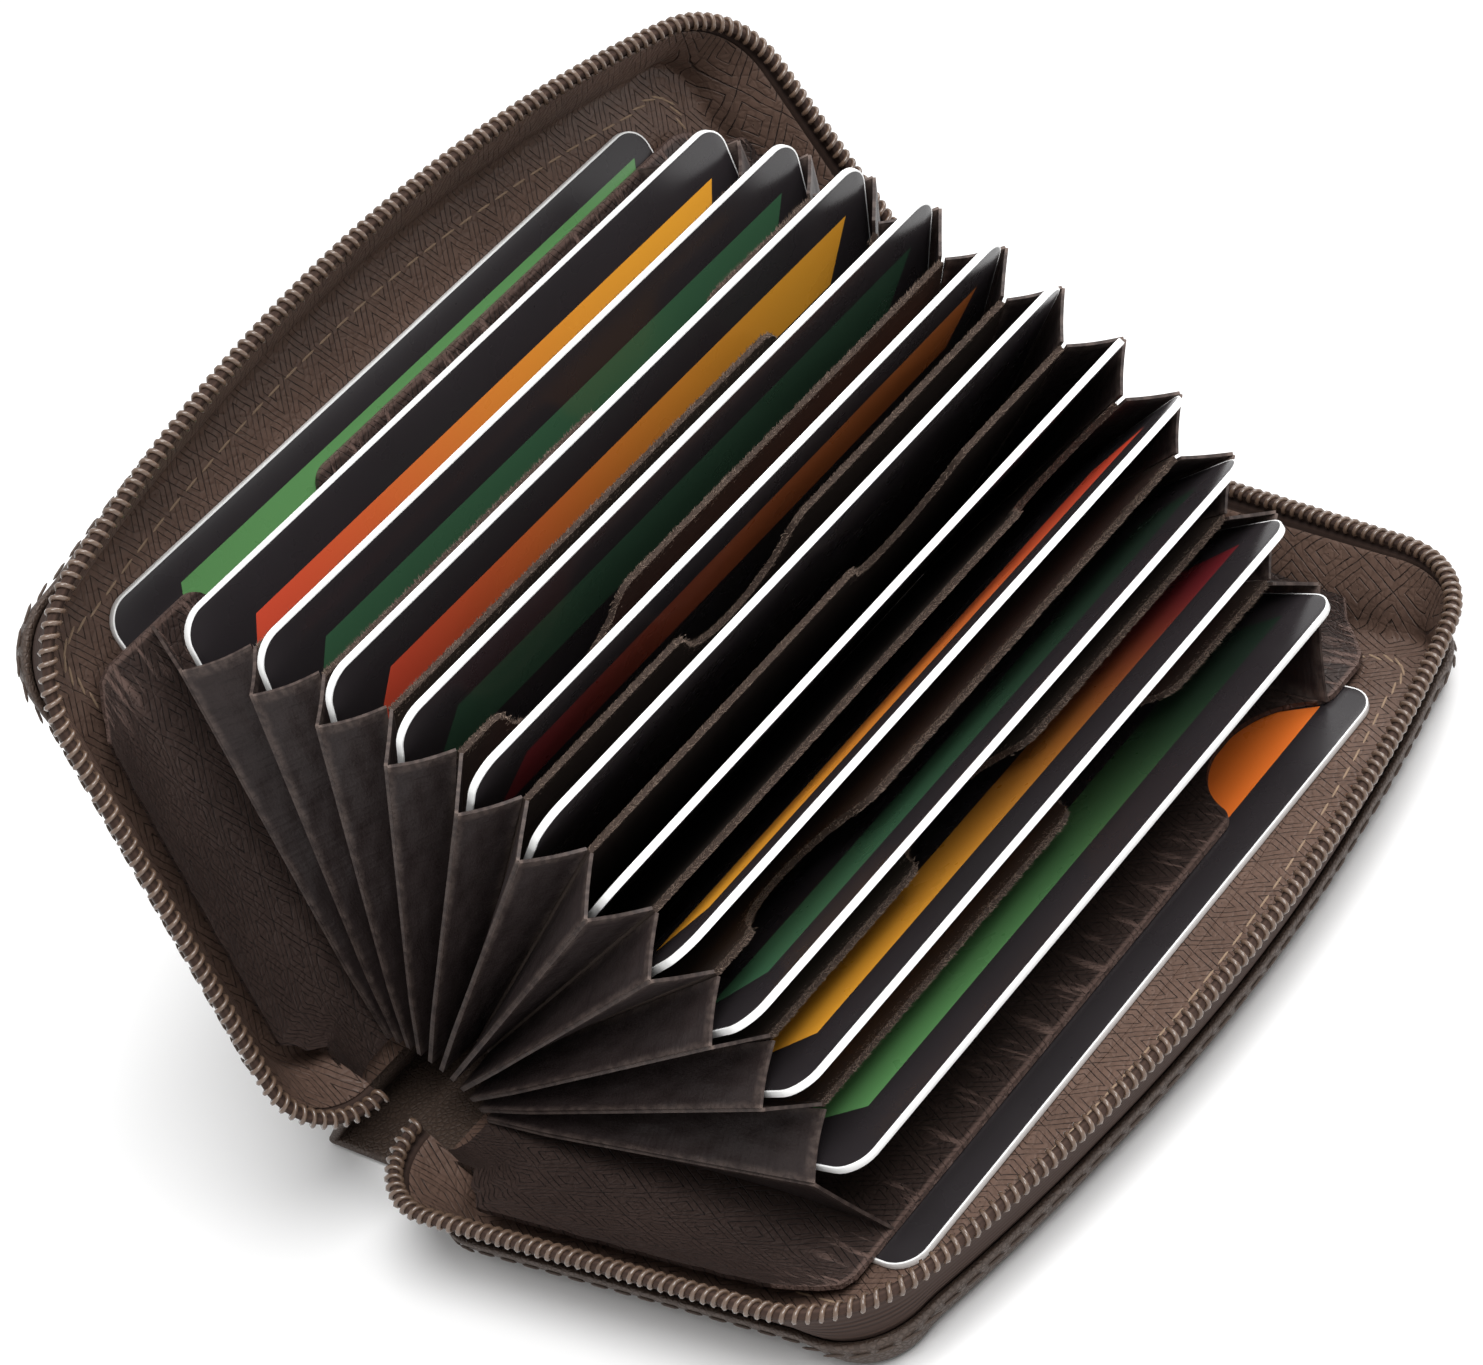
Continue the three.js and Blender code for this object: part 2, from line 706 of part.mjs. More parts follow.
// The tree of leaves, each turned open about its fold line
function add(group, name, geometry, look) {
  const mesh = new THREE.Mesh(geometry, new THREE.MeshStandardMaterial(look));
  mesh.name = name;
  group.add(mesh);
  return mesh;
}

function opened(parent, name, foldAt, height, degrees) {
  const hinge = new THREE.Group();
  hinge.name = name;
  hinge.position.set(0, coverCentre - foldAt, height);
  hinge.rotation.x = -THREE.MathUtils.degToRad(degrees);
  const leaf = new THREE.Group();
  leaf.position.set(0, foldAt - coverCentre, -height);
  hinge.add(leaf);
  parent.add(hinge);
  return leaf;
}

function two(number) {
  return String(number).padStart(2, '0');
}

function addCard(group, k) {
  const look = { color: cardLooks[(k - 1) % cardLooks.length], roughness: 0.35, metalness: 0 };
  return add(group, `card_${two(k)}`, bankCard(k), look);
}

function addCover(group, letter, upper, place) {
  add(group, `leather_${letter}`, leatherShell(upper), leatherLook);
  const boardInset = layerInset + layerGap;
  add(group, `board_${letter}`, flatLayer(boardInset, boardLow, boardLow + boardThick, upper), boardLook);
  add(group, `lining_${letter}`, flatLayer(layerInset, liningLow, liningLow + liningThick, upper), liningLook);
  add(group, `panel_${letter}`, pocketPanel(upper, place), liningLook);
  add(group, `tape_${letter}`, zipTape(upper), tapeLook);
  add(group, `teeth_${letter}`, zipTeeth(upper), chainLook);
}

// A spine link hangs from its cover's spine edge, turned by an angle from flat
function addSpine(group, letter, length, upper, degrees) {
  const hinge = new THREE.Group();
  hinge.name = `spine_hinge_${letter}`;
  const height = upper ? shutThick - leatherThick / 2 : leatherThick / 2;
  hinge.position.set(0, coverCentre, height);
  hinge.rotation.x = THREE.MathUtils.degToRad(degrees);
  add(hinge, `spine_${letter}`, spineLink(length), leatherLook);
  group.add(hinge);
}

const cardCase = new THREE.Group();
addCover(cardCase, 'b', false, cardCount - 2);
addCard(cardCase, cardCount);

let leaf = opened(cardCase, 'fold_01', endFoldAt, endFoldHeight, openSteps[0]);
for (let k = cardCount - 1; k >= 2; k -= 1) {
  add(leaf, `gusset_${two(k - 1)}`, gusset(k), gussetLook);
  addCard(leaf, k);
  if (2 * k === cardCount + 1) {
    add(leaf, 'zip_tail', zipTail(), tapeLook);
    add(leaf, 'slider', sliderBody(), metalLook);
    add(leaf, 'puller', puller(), metalLook);
  }
  if (k > 2) {
    const step = openSteps[cardCount - k] / 2;
    const count = 2 * (cardCount - k);
    leaf = opened(leaf, `fold_${two(count)}`, innerFoldAt, cardMid(k) + leafPitch / 4, step);
    add(leaf, `divider_${two(k - 1)}`, divider(k - 1), dividerLook);
    const next = cardMid(k - 1) - leafPitch / 4;
    leaf = opened(leaf, `fold_${two(count + 1)}`, innerFoldAt, next, step);
  }
}
const last = openSteps[openSteps.length - 1];
const coverA = opened(leaf, `fold_${two(2 * (cardCount - 2))}`, endFoldAt, shutThick - endFoldHeight, last);
addCover(coverA, 'a', true, 0);
addCard(coverA, 1);

// The spine leather is as long as the shut case needs; lying open, its long link rests
// flat and its short link comes down from the upper cover to meet that link's end
const total = openSteps.reduce((sum, step) => sum + step, 0);
const spineLength = shutThick - leatherThick + spineSlack;
cardCase.updateMatrixWorld(true);
const head = coverA.localToWorld(new THREE.Vector3(0, coverCentre, shutThick - leatherThick / 2));
const headOut = head.y - coverCentre;
const headUp = head.z - leatherThick / 2;
const headSquare = headOut * headOut + headUp * headUp;
const spineLong = (spineLength * spineLength - headSquare) / (2 * (spineLength - headOut));
const spineDrop = THREE.MathUtils.radToDeg(Math.atan2(headUp, spineLong - headOut));
addSpine(cardCase, 'b', spineLong, false, 0);
addSpine(coverA, 'a', spineLength - spineLong, true, total - spineDrop);

export default cardCase;
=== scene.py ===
# Zip-round leather card case, standing open as a fan of pockets. Metres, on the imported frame.
import json
import math
import random
import bpy
import bmesh
from mathutils import Matrix, Vector


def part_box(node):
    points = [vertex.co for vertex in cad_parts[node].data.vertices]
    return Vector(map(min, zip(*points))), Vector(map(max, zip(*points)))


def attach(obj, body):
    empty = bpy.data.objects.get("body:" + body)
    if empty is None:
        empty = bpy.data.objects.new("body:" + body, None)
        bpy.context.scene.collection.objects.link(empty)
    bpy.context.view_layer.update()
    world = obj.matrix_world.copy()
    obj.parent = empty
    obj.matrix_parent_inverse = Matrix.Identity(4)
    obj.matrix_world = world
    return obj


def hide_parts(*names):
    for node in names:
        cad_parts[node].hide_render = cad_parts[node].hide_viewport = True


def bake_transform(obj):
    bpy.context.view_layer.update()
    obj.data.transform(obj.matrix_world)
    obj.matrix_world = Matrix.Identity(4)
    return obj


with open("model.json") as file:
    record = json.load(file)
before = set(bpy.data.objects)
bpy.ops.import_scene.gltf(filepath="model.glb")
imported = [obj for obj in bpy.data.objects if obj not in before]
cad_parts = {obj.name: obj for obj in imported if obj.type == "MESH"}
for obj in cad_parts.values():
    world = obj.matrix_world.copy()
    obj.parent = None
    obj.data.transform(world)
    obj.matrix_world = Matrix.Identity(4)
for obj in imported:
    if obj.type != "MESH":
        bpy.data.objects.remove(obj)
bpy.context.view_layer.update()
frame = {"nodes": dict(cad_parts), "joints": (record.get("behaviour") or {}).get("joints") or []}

mm = 0.001
random.seed(7)

for node in frame["nodes"].values():  # the CAD nodes come in selected
    node.select_set(False)


# Where things stand on a leaf drawn flat: x along the spine, -y to the free edge, z up the stack
leaf = {
    "coverCentre": 36 * mm,
    "cardMiddle": 32.19 * mm,
    "dividerMiddle": 29.35 * mm,
    "endCardMid": 2.78 * mm,
    "cards": 13,
}

joints = {joint["name"]: joint for joint in frame["joints"]}


def openAngle(card):
    axis = joints[f"card_{card:02d}_slide"]["axis"]
    return math.atan2(axis[2], -axis[1])


def placeOf(node, middle, turn):
    low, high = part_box(node)
    spot = Matrix.Translation((low + high) / 2) @ Matrix.Rotation(-turn, 4, "X")
    return spot @ Matrix.Translation((0, middle, 0))


cardPlace = {}
dividerPlace = {}
for k in range(1, leaf["cards"] + 1):
    cardPlace[k] = placeOf(f"card_{k:02d}", leaf["cardMiddle"], openAngle(k))
for k in range(2, leaf["cards"] - 1):
    halfway = (openAngle(k) + openAngle(k + 1)) / 2
    dividerPlace[k] = placeOf(f"divider_{k:02d}", leaf["dividerMiddle"], halfway)

# A cover is drawn with its outer face at z 0; the upper one is the lower one turned over
turnedOver = Matrix.Translation((0, 0, leaf["endCardMid"])) @ Matrix.Rotation(math.pi, 4, "Y")
coverPlace = {
    "b": Matrix.Translation((0, leaf["coverCentre"], 0)),
    "a": cardPlace[1] @ turnedOver,
}


# Small tools
def within(value, low=0, high=1):
    return min(max(value, low), high)


def eased(share):
    return share * share * (3 - 2 * share)


def selectOnly(piece):
    bpy.ops.object.select_all(action="DESELECT")
    piece.select_set(True)
    bpy.context.view_layer.objects.active = piece


def newObject(name, data):
    thing = bpy.data.objects.new(name, data)
    bpy.context.scene.collection.objects.link(thing)
    return thing


def newPiece(name, points, faces):
    mesh = bpy.data.meshes.new(name)
    mesh.from_pydata([tuple(p) for p in points], [], faces)
    mesh.update()
    return newObject(name, mesh)


def copyOf(piece, name):
    twin = newObject(name, piece.data.copy())
    twin.data.name = name
    return twin


def outward(piece):
    work = bmesh.new()
    work.from_mesh(piece.data)
    bmesh.ops.recalc_face_normals(work, faces=work.faces)
    work.to_mesh(piece.data)
    work.free()


def closedPiece(name, points, faces):
    piece = newPiece(name, points, faces)
    outward(piece)
    return piece


def ringFaces(first, rings, count):
    # the skin over rings of points that follow one another, with a cap at both ends
    faces = []
    for i in range(rings - 1):
        for j in range(count):
            a, b = first + i * count + j, first + i * count + (j + 1) % count
            faces.append((a, b, b + count, a + count))
    last = first + (rings - 1) * count
    return faces + [tuple(range(first, first + count)), tuple(range(last, last + count))]


def prism(name, outline, low, high):
    # an outline of x and r, drawn out from one height to another
    count = len(outline)
    points = [(x, -r, z) for z in (low, high) for x, r in outline]
    faces = [tuple(range(count)), tuple(range(count, 2 * count))]
    for i in range(count):
        j = (i + 1) % count
        faces.append((i, j, count + j, count + i))
    return closedPiece(name, points, faces)


def applyAll(piece):
    selectOnly(piece)
    for modifier in list(piece.modifiers):
        bpy.ops.object.modifier_apply(modifier=modifier.name)


def roundEdges(piece, width, segments, angle=60):
    rims = piece.modifiers.new("rims", "BEVEL")
    rims.width, rims.segments = width, segments
    rims.limit_method = "ANGLE"
    rims.angle_limit = math.radians(angle)
    applyAll(piece)


def smooth(piece, angle=40):
    selectOnly(piece)
    bpy.ops.object.shade_smooth_by_angle(angle=math.radians(angle))


def setFlat(piece, spots):
    # remembers where each point lies on the flat leaf, for patterns that follow the leather
    flat = piece.data.attributes.new("flat", "FLOAT_VECTOR", "POINT")
    for i, spot in enumerate(spots):
        flat.data[i].vector = spot


def keepFlat(piece):
    setFlat(piece, [v.co.copy() for v in piece.data.vertices])


def settle(piece, place, body, finish, replaced=()):
    piece.data.transform(place)
    piece.data.materials.clear()
    piece.data.materials.append(finish)
    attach(piece, body)
    if replaced:
        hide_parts(*replaced)


covers = (("b", 1), ("a", -1))  # the upper cover is drawn mirrored


def ontoCover(piece, side, finish, replaced=()):
    settle(piece, coverPlace[side], f"cover_{side}", finishes[finish], replaced)


# Shader maths as plain expressions
class Wire:
    def __init__(self, finish, node, socket):
        self.finish, self.node, self.socket = finish, node, socket

    def output(self, name):
        return Wire(self.finish, self.node, self.node.outputs[name])

    def maths(self, operation, first, second=0.0, clamp=False):
        settings = {"operation": operation, "use_clamp": clamp}
        return self.finish.add("Math", settings, {0: first, 1: second})

    def __add__(self, other):
        return self.maths("ADD", self, other)

    def __radd__(self, other):
        return self.maths("ADD", other, self)

    def __sub__(self, other):
        return self.maths("SUBTRACT", self, other)

    def __rsub__(self, other):
        return self.maths("SUBTRACT", other, self)

    def __mul__(self, other):
        return self.maths("MULTIPLY", self, other)

    def __rmul__(self, other):
        return self.maths("MULTIPLY", other, self)

    def __truediv__(self, other):
        return self.maths("DIVIDE", self, other)

    def __lt__(self, other):
        return self.maths("LESS_THAN", self, other)

    def __gt__(self, other):
        return self.maths("GREATER_THAN", self, other)

    def wave(self):
        # a saw of period 1 folded into a zigzag from 0 to 1
        saw = self.maths("FRACT", self)
        return self.maths("ABSOLUTE", saw * 2.0 - 1.0)

    def size(self):
        return self.maths("ABSOLUTE", self)

    def above(self, floor):
        return self.maths("MAXIMUM", self, floor)

    def clamped(self):
        return self.maths("ADD", self, 0.0, clamp=True)

    def step(self, low, high):
        # rises smoothly from 0 at low to 1 at high
        settings = {"interpolation_type": "SMOOTHSTEP"}
        sockets = {"Value": self, "From Min": low, "From Max": high}
        return self.finish.add("MapRange", settings, sockets)


class Finish:
    def __init__(self, name, roughness=0.5, metallic=0.0, specular=0.5):
        self.material = bpy.data.materials.new(name)
        self.material.use_nodes = True
        self.tree = self.material.node_tree
        self.shader = self.tree.nodes["Principled BSDF"]
        self.shader.inputs["Roughness"].default_value = roughness
        self.shader.inputs["Metallic"].default_value = metallic
        self.shader.inputs["Specular IOR Level"].default_value = specular

    def link(self, socket, value):
        if isinstance(value, Wire):
            self.tree.links.new(value.socket, socket)
        else:
            socket.default_value = value

    def add(self, kind, settings, sockets):
        node = self.tree.nodes.new("ShaderNode" + kind)
        for name, value in settings.items():
            setattr(node, name, value)
        for name, value in sockets.items():
            self.link(node.inputs[name], value)
        return Wire(self, node, node.outputs[0])

    def colour(self, value):
        self.link(self.shader.inputs["Base Color"], value)

    def rough(self, value):
        self.link(self.shader.inputs["Roughness"], value)

    def mix(self, amount, first, second):
        first = (*first, 1) if isinstance(first, tuple) else first
        second = (*second, 1) if isinstance(second, tuple) else second
        wire = self.add("Mix", {"data_type": "RGBA"}, {0: amount, 6: first, 7: second})
        return Wire(self, wire.node, wire.node.outputs[2])

    def spot(self):
        return self.add("TexCoord", {}, {}).output("Object")

    def flat(self):
        return self.add("Attribute", {"attribute_name": "flat"}, {}).output("Vector")

    def parts(self, vector):
        split = self.add("SeparateXYZ", {}, {0: vector})
        return split, split.output("Y"), split.output("Z")

    def noise(self, vector, size, detail=3.0, roughness=0.55):
        sockets = {"Vector": vector, "Scale": 1 / size, "Detail": detail, "Roughness": roughness}
        return self.add("TexNoise", {}, sockets)

    def pebbles(self, vector, size, seam):
        # 1 on each pebble, falling to 0 in the seams between them
        settings = {"feature": "DISTANCE_TO_EDGE"}
        cells = self.add("TexVoronoi", settings, {"Vector": vector, "Scale": 1 / size})
        return cells.output("Distance").step(0.0, seam)

    def bump(self, height, depth, strength=1.0, below=None):
        sockets = {"Height": height, "Distance": depth, "Strength": strength}
        if below:
            sockets["Normal"] = below
        return self.add("Bump", {}, sockets)

    def relief(self, wire):
        self.link(self.shader.inputs["Normal"], wire)


def scaled(colour, factor):
    return tuple(c * factor for c in colour)


# Brown cover leather: fine pebble grain, soft cloudy colour
coverLook = {
    "grain": 0.62 * mm,
    "grainSeam": 0.24,
    "grainDepth": 0.06 * mm,
    "fine": 0.35 * mm,
    "fineDepth": 0.04 * mm,
    "cloud": 14 * mm,
    "crack": (0.030, 0.018, 0.013),
    "dark": (0.046, 0.030, 0.022),
    "pale": (0.088, 0.060, 0.046),
}


def coverLeather():
    f = Finish("coverLeather", roughness=0.5, specular=0.35)
    spot = f.spot()
    grain = f.pebbles(spot, coverLook["grain"], coverLook["grainSeam"])
    cloud = f.noise(spot, coverLook["cloud"])
    fine = f.noise(spot, coverLook["fine"])
    brown = f.mix(cloud, coverLook["dark"], coverLook["pale"])
    f.colour(f.mix(grain * 0.6 + 0.4, coverLook["crack"], brown))
    f.rough(0.62 - grain * 0.16)
    below = f.bump(grain, coverLook["grainDepth"])
    f.relief(f.bump(fine, coverLook["fineDepth"], below=below))
    return f.material


# Embossed leather of the lining and the panels: bands of nested zigzags, finely engraved
emboss = {
    "tooth": 4.3 * mm,
    "band": 4.6 * mm,
    "nested": 3.0,
    "depth": 0.15 * mm,
    "wobble": 0.9 * mm,
    "wobbleSize": 9 * mm,
    "breaks": 2.2 * mm,
    "pebble": 1.1 * mm,
    "pebbleSeam": 0.22,
    "pebbleDepth": 0.04 * mm,
    "cloud": 12 * mm,
    "crease": 0.8 * mm,
    "creaseDepth": 0.12 * mm,
    "turnedFrom": 47 * mm,
    "turnedTo": 54.3 * mm,
    "rubWidth": 0.4 * mm,
}


def embossedLeather(name, dark, pale, turned=False):
    f = Finish(name, roughness=0.5, specular=0.3)
    flat = f.flat()
    x, y, _ = f.parts(flat)
    wobble = f.noise(flat, emboss["wobbleSize"]) - 0.5
    across = x + wobble * emboss["wobble"]
    down = y + wobble * emboss["wobble"]
    band = down / emboss["band"]
    height = band.maths("FRACT", band)
    odd = band.maths("FLOORED_MODULO", band.maths("FLOOR", band), 2.0)
    teeth = (across / emboss["tooth"] + odd * 0.5).wave()
    nested = ((height - teeth) * emboss["nested"]).wave()
    line = 1 - (1 - nested).step(0.03, 0.2)
    broken = f.noise(flat, emboss["breaks"]).step(0.36, 0.52)
    groove = line * (0.4 + broken * 0.6)
    pebble = f.pebbles(flat, emboss["pebble"], emboss["pebbleSeam"])
    tone = f.mix(f.noise(flat, emboss["cloud"]), dark, pale)
    engraved = (groove * 0.85 + (1 - pebble) * 0.18).clamped()
    tone = f.mix(engraved, tone, scaled(dark, 0.30))
    below = f.bump(1 - groove, emboss["depth"])
    relief = f.bump(pebble, emboss["pebbleDepth"], below=below)
    if turned:
        stretched = f.add("Mapping", {}, {"Vector": flat, "Scale": (1.0, 0.12, 1.0)})
        crease = f.noise(stretched, emboss["crease"]).step(0.52, 0.66)
        near = (0 - y).step(emboss["turnedFrom"], emboss["turnedTo"])
        rubbed = (0 - y).step(emboss["turnedTo"], emboss["turnedTo"] + emboss["rubWidth"])
        tone = f.mix(crease * near * 0.7, tone, scaled(pale, 3.2))
        tone = f.mix(rubbed * 0.8, tone, scaled(pale, 2.3))
        relief = f.bump(crease * near, emboss["creaseDepth"], below=relief)
    f.colour(tone)
    f.rough(0.46 + groove * 0.2)
    f.relief(relief)
    return f.material


# Thin gusset leather: smooth, wrinkled across the pleat, rubbed pale along the top rim, with a
# painted highlight along the fold ridges
gussetLook = {
    "share": 10 * mm,  # flat z runs this far from the fold to the neighbour
    "cloud": 14 * mm,
    "fine": 0.55 * mm,
    "fineDepth": 0.05 * mm,
    "wrinkle": 0.9 * mm,
    "wrinkleDepth": 0.22 * mm,
    "wave": 6 * mm,
    "waveDepth": 0.7 * mm,
    "paleBreakup": 1.3 * mm,
    "rimFrom": 53.4 * mm,
    "rimTo": 54.8 * mm,
    "dark": (0.013, 0.0085, 0.0085),
    "pale": (0.034, 0.0235, 0.0225),
    "pore": (0.012, 0.008, 0.007),
    # pale colour for the rubbed top rim and for the painted highlight on the fold ridges
    "paleMark": (0.135, 0.100, 0.086),
}


def gussetLeather():
    f = Finish("gussetLeather", roughness=0.5, specular=0.22)
    flat = f.flat()
    _, y, share = f.parts(flat)
    fine = f.noise(flat, gussetLook["fine"], detail=4.0)
    stretched = f.add("Mapping", {}, {"Vector": flat, "Scale": (0.10, 1.0, 0.10)})
    wrinkle = f.noise(stretched, gussetLook["wrinkle"])
    tone = f.mix(f.noise(flat, gussetLook["cloud"]), gussetLook["dark"], gussetLook["pale"])
    tone = f.mix(fine * 0.45, tone, gussetLook["pore"])
    # painted highlight: the fold ridges, at share 0 and 1, are coloured paler
    ridgeHighlight = (share / gussetLook["share"] - 0.5).size().step(0.36, 0.50)
    top = (0 - y).step(gussetLook["rimFrom"], gussetLook["rimTo"])
    paleBreakup = f.noise(flat, gussetLook["paleBreakup"], detail=4.0).step(0.34, 0.62)
    # the pale mark is the painted highlight on the ridges plus the rubbed top rim, broken into
    # patches by noise
    paleMark = (ridgeHighlight * 0.42 + top * 0.5).clamped() * (0.25 + paleBreakup * 0.75)
    f.colour(f.mix(paleMark, tone, gussetLook["paleMark"]))
    f.rough(0.44 + fine * 0.16)
    below = f.bump(f.noise(flat, gussetLook["wave"], detail=1.0), gussetLook["waveDepth"])
    below = f.bump(fine, gussetLook["fineDepth"], below=below)
    f.relief(f.bump(wrinkle, gussetLook["wrinkleDepth"], strength=0.7, below=below))
    return f.material


# Divider leather, flesh side out: matt, mottled and a little hairy, with a paler raw edge
dividerLook = {
    "cloud": 10 * mm,
    "hair": 0.45 * mm,
    "hairDepth": 0.09 * mm,
    "dark": (0.020, 0.013, 0.011),
    "pale": (0.050, 0.033, 0.026),
    "hairs": (0.075, 0.052, 0.040),
    "edgePatch": 1.5 * mm,
    "edgeDark": (0.11, 0.078, 0.060),
    "edgePale": (0.30, 0.225, 0.18),
}


def dividerLeather():
    f = Finish("dividerLeather", roughness=0.85, specular=0.2)
    flat = f.flat()
    cloud = f.noise(flat, dividerLook["cloud"], detail=5.0)
    stretched = f.add("Mapping", {}, {"Vector": flat, "Scale": (0.3, 1.0, 1.0)})
    hair = f.noise(stretched, dividerLook["hair"], detail=4.0, roughness=0.7)
    tone = f.mix(cloud, dividerLook["dark"], dividerLook["pale"])
    f.colour(f.mix(hair * 0.5, tone, dividerLook["hairs"]))
    f.relief(f.bump(hair, dividerLook["hairDepth"]))
    return f.material


def rawEdge():
    f = Finish("rawEdge", roughness=0.9, specular=0.2)
    patch = f.noise(f.spot(), dividerLook["edgePatch"])
    f.colour(f.mix(patch, dividerLook["edgeDark"], dividerLook["edgePale"]))
    return f.material


# Woven zip tape: fine ribs that run along it, and the plastic of the coil
zipLook = {
    "twill": 0.85 * mm,
    "rise": 1.7 * mm,
    "rib": 0.75 * mm,
    "weaveDepth": 0.16 * mm,
    "cloud": 8 * mm,
    "gap": (0.020, 0.012, 0.010),
    "dark": (0.045, 0.026, 0.020),
    "pale": (0.080, 0.048, 0.036),
    "coilCloud": 5 * mm,
    "coilWear": 0.8 * mm,
    "coilDark": (0.070, 0.043, 0.029),
    "coilPale": (0.155, 0.100, 0.070),
}


def wovenTape():
    f = Finish("wovenTape", roughness=0.85, specular=0.2)
    flat = f.flat()
    out, across, _ = f.parts(flat)
    twill = (out / zipLook["twill"] + across / zipLook["rise"]).wave()
    weave = twill * 0.6 + (across / zipLook["rib"]).wave() * 0.4
    tone = f.mix(f.noise(flat, zipLook["cloud"]), zipLook["dark"], zipLook["pale"])
    f.colour(f.mix(weave, zipLook["gap"], tone))
    f.relief(f.bump(weave, zipLook["weaveDepth"]))
    return f.material


def coilPlastic():
    f = Finish("coilPlastic", roughness=0.3)
    spot = f.spot()
    cloud = f.noise(spot, zipLook["coilCloud"])
    f.colour(f.mix(cloud, zipLook["coilDark"], zipLook["coilPale"]))
    f.rough(0.20 + f.noise(spot, zipLook["coilWear"]) * 0.12)
    f.shader.inputs["Coat Weight"].default_value = 0.4
    return f.material


threadPatch = 0.6 * mm


def thread(name, dark, pale):
    f = Finish(name, roughness=0.8)
    f.colour(f.mix(f.noise(f.spot(), threadPatch), dark, pale))
    return f.material


# Brassy metal of the slider and the puller, duller where it is worn
metalLook = {
    "wear": 1.6 * mm,
    "dark": (0.22, 0.16, 0.10),
    "pale": (0.46, 0.37, 0.25),
}


def zipMetal():
    f = Finish("zipMetal", roughness=0.3, metallic=1.0)
    paleMark = f.noise(f.spot(), metalLook["wear"], detail=4.0)
    f.colour(f.mix(paleMark, metalLook["dark"], metalLook["pale"]))
    f.rough(0.22 + paleMark * 0.22)
    return f.material


boardLook = {
    "fibre": 0.5 * mm,
    "depth": 0.05 * mm,
    "dark": (0.10, 0.085, 0.068),
    "pale": (0.20, 0.17, 0.14),
}


def boardFibre():
    f = Finish("boardFibre", roughness=0.9)
    fibre = f.noise(f.spot(), boardLook["fibre"], detail=5.0)
    f.colour(f.mix(fibre, boardLook["dark"], boardLook["pale"]))
    f.relief(f.bump(fibre, boardLook["depth"]))
    return f.material


# A card: glossy near-black face with a coloured band, and a white core that shows round it
card = {
    "length": 85.6 * mm,
    "width": 53.98 * mm,
    "thick": 0.76 * mm,
    "corner": 3.18 * mm,
    "cornerSteps": 8,
    "rim": 0.08 * mm,
    "rimSteps": 2,
    "margin": 0.20 * mm,  # bare white core round the print
    "printedFrom": 0.30 * mm,  # only the two faces are printed
    "white": (0.86, 0.86, 0.85),
    "faceDark": (0.014, 0.012, 0.013),
    "facePale": (0.024, 0.020, 0.022),
    "cloud": 20 * mm,
    "sheen": 6 * mm,
}
cardBand = {
    "left": -38.4 * mm,
    "right": 35.4 * mm,
    "slant": 0.55,
    "top": 54.1 * mm,
    "endTop": 56.0 * mm,
    "bottom": 47.4 * mm,
}


def cardPlastic(number, low, high, top):
    f = Finish(f"cardPlastic{number:02d}", roughness=0.22, specular=0.5)
    flat = f.flat()
    x, y, z = f.parts(flat)
    r = 0.0 - y
    onFace = z.size() > card["printedFrom"]
    shift = (r - cardBand["bottom"]) * cardBand["slant"]
    inBand = (r > cardBand["bottom"]) * (r < top)
    inBand = inBand * (x > shift + cardBand["left"]) * (x < shift + cardBand["right"])
    # the band runs from the near colour to the far one; the darker far ends on cards 11 and 12 are
    # painted shade
    band = f.mix(x.step(cardBand["left"], cardBand["right"]), low, high)
    face = f.mix(f.noise(flat, card["cloud"]), card["faceDark"], card["facePale"])
    farX = (x.size() - (card["length"] / 2 - card["corner"])).above(0.0)
    farY = (y + leaf["cardMiddle"]).size() - (card["width"] / 2 - card["corner"])
    farY = farY.above(0.0)
    spread = farX * farX + farY * farY
    reach = spread.maths("SQRT", spread)
    printed = onFace * (reach < card["corner"] - card["margin"])
    f.colour(f.mix(printed, card["white"], f.mix(inBand, face, band)))
    f.rough(0.24 + f.noise(flat, card["sheen"]) * 0.08)
    return f.material


finishes = {
    "leather": coverLeather(),
    "lining": embossedLeather("liningLeather", (0.076, 0.046, 0.035), (0.155, 0.096, 0.072)),
    "panel": embossedLeather("panelLeather", (0.026, 0.017, 0.015), (0.058, 0.038, 0.032),
                             turned=True),
    "gusset": gussetLeather(),
    "divider": dividerLeather(),
    "rawEdge": rawEdge(),
    "tape": wovenTape(),
    "coil": coilPlastic(),
    "thread": thread("thread", (0.17, 0.11, 0.07), (0.34, 0.24, 0.16)),
    "darkThread": thread("darkThread", (0.030, 0.019, 0.014), (0.085, 0.058, 0.044)),
    "metal": zipMetal(),
    "board": boardFibre(),
}
print("finishes made")


# Bank cards: a cube flattened to a card, its corners and rims rounded in edit mode
green, darkGreen = (0.095, 0.245, 0.085), (0.036, 0.098, 0.050)
red, amber, orange = (0.60, 0.070, 0.035), (0.72, 0.32, 0.030), (0.78, 0.17, 0.025)
wine, rust = (0.13, 0.014, 0.018), (0.42, 0.12, 0.030)
black, dimGreen, deepGreen = (0.014, 0.012, 0.014), (0.024, 0.058, 0.034), (0.012, 0.022, 0.015)
# Cards 11 and 12 darken towards the far end of their bands: that darker far colour is painted shade
# (wine on card 11, deepGreen on card 12)
cardColours = {  # colour at the near end and at the far end of the band
    1: (green, green), 2: (red, amber), 3: (darkGreen, darkGreen), 4: (red, amber),
    5: (dimGreen, dimGreen), 6: (wine, rust), 7: (black, black), 8: (black, black),
    9: (amber, red), 10: (darkGreen, deepGreen), 11: (amber, wine),
    12: (green, deepGreen), 13: (orange, orange),
}


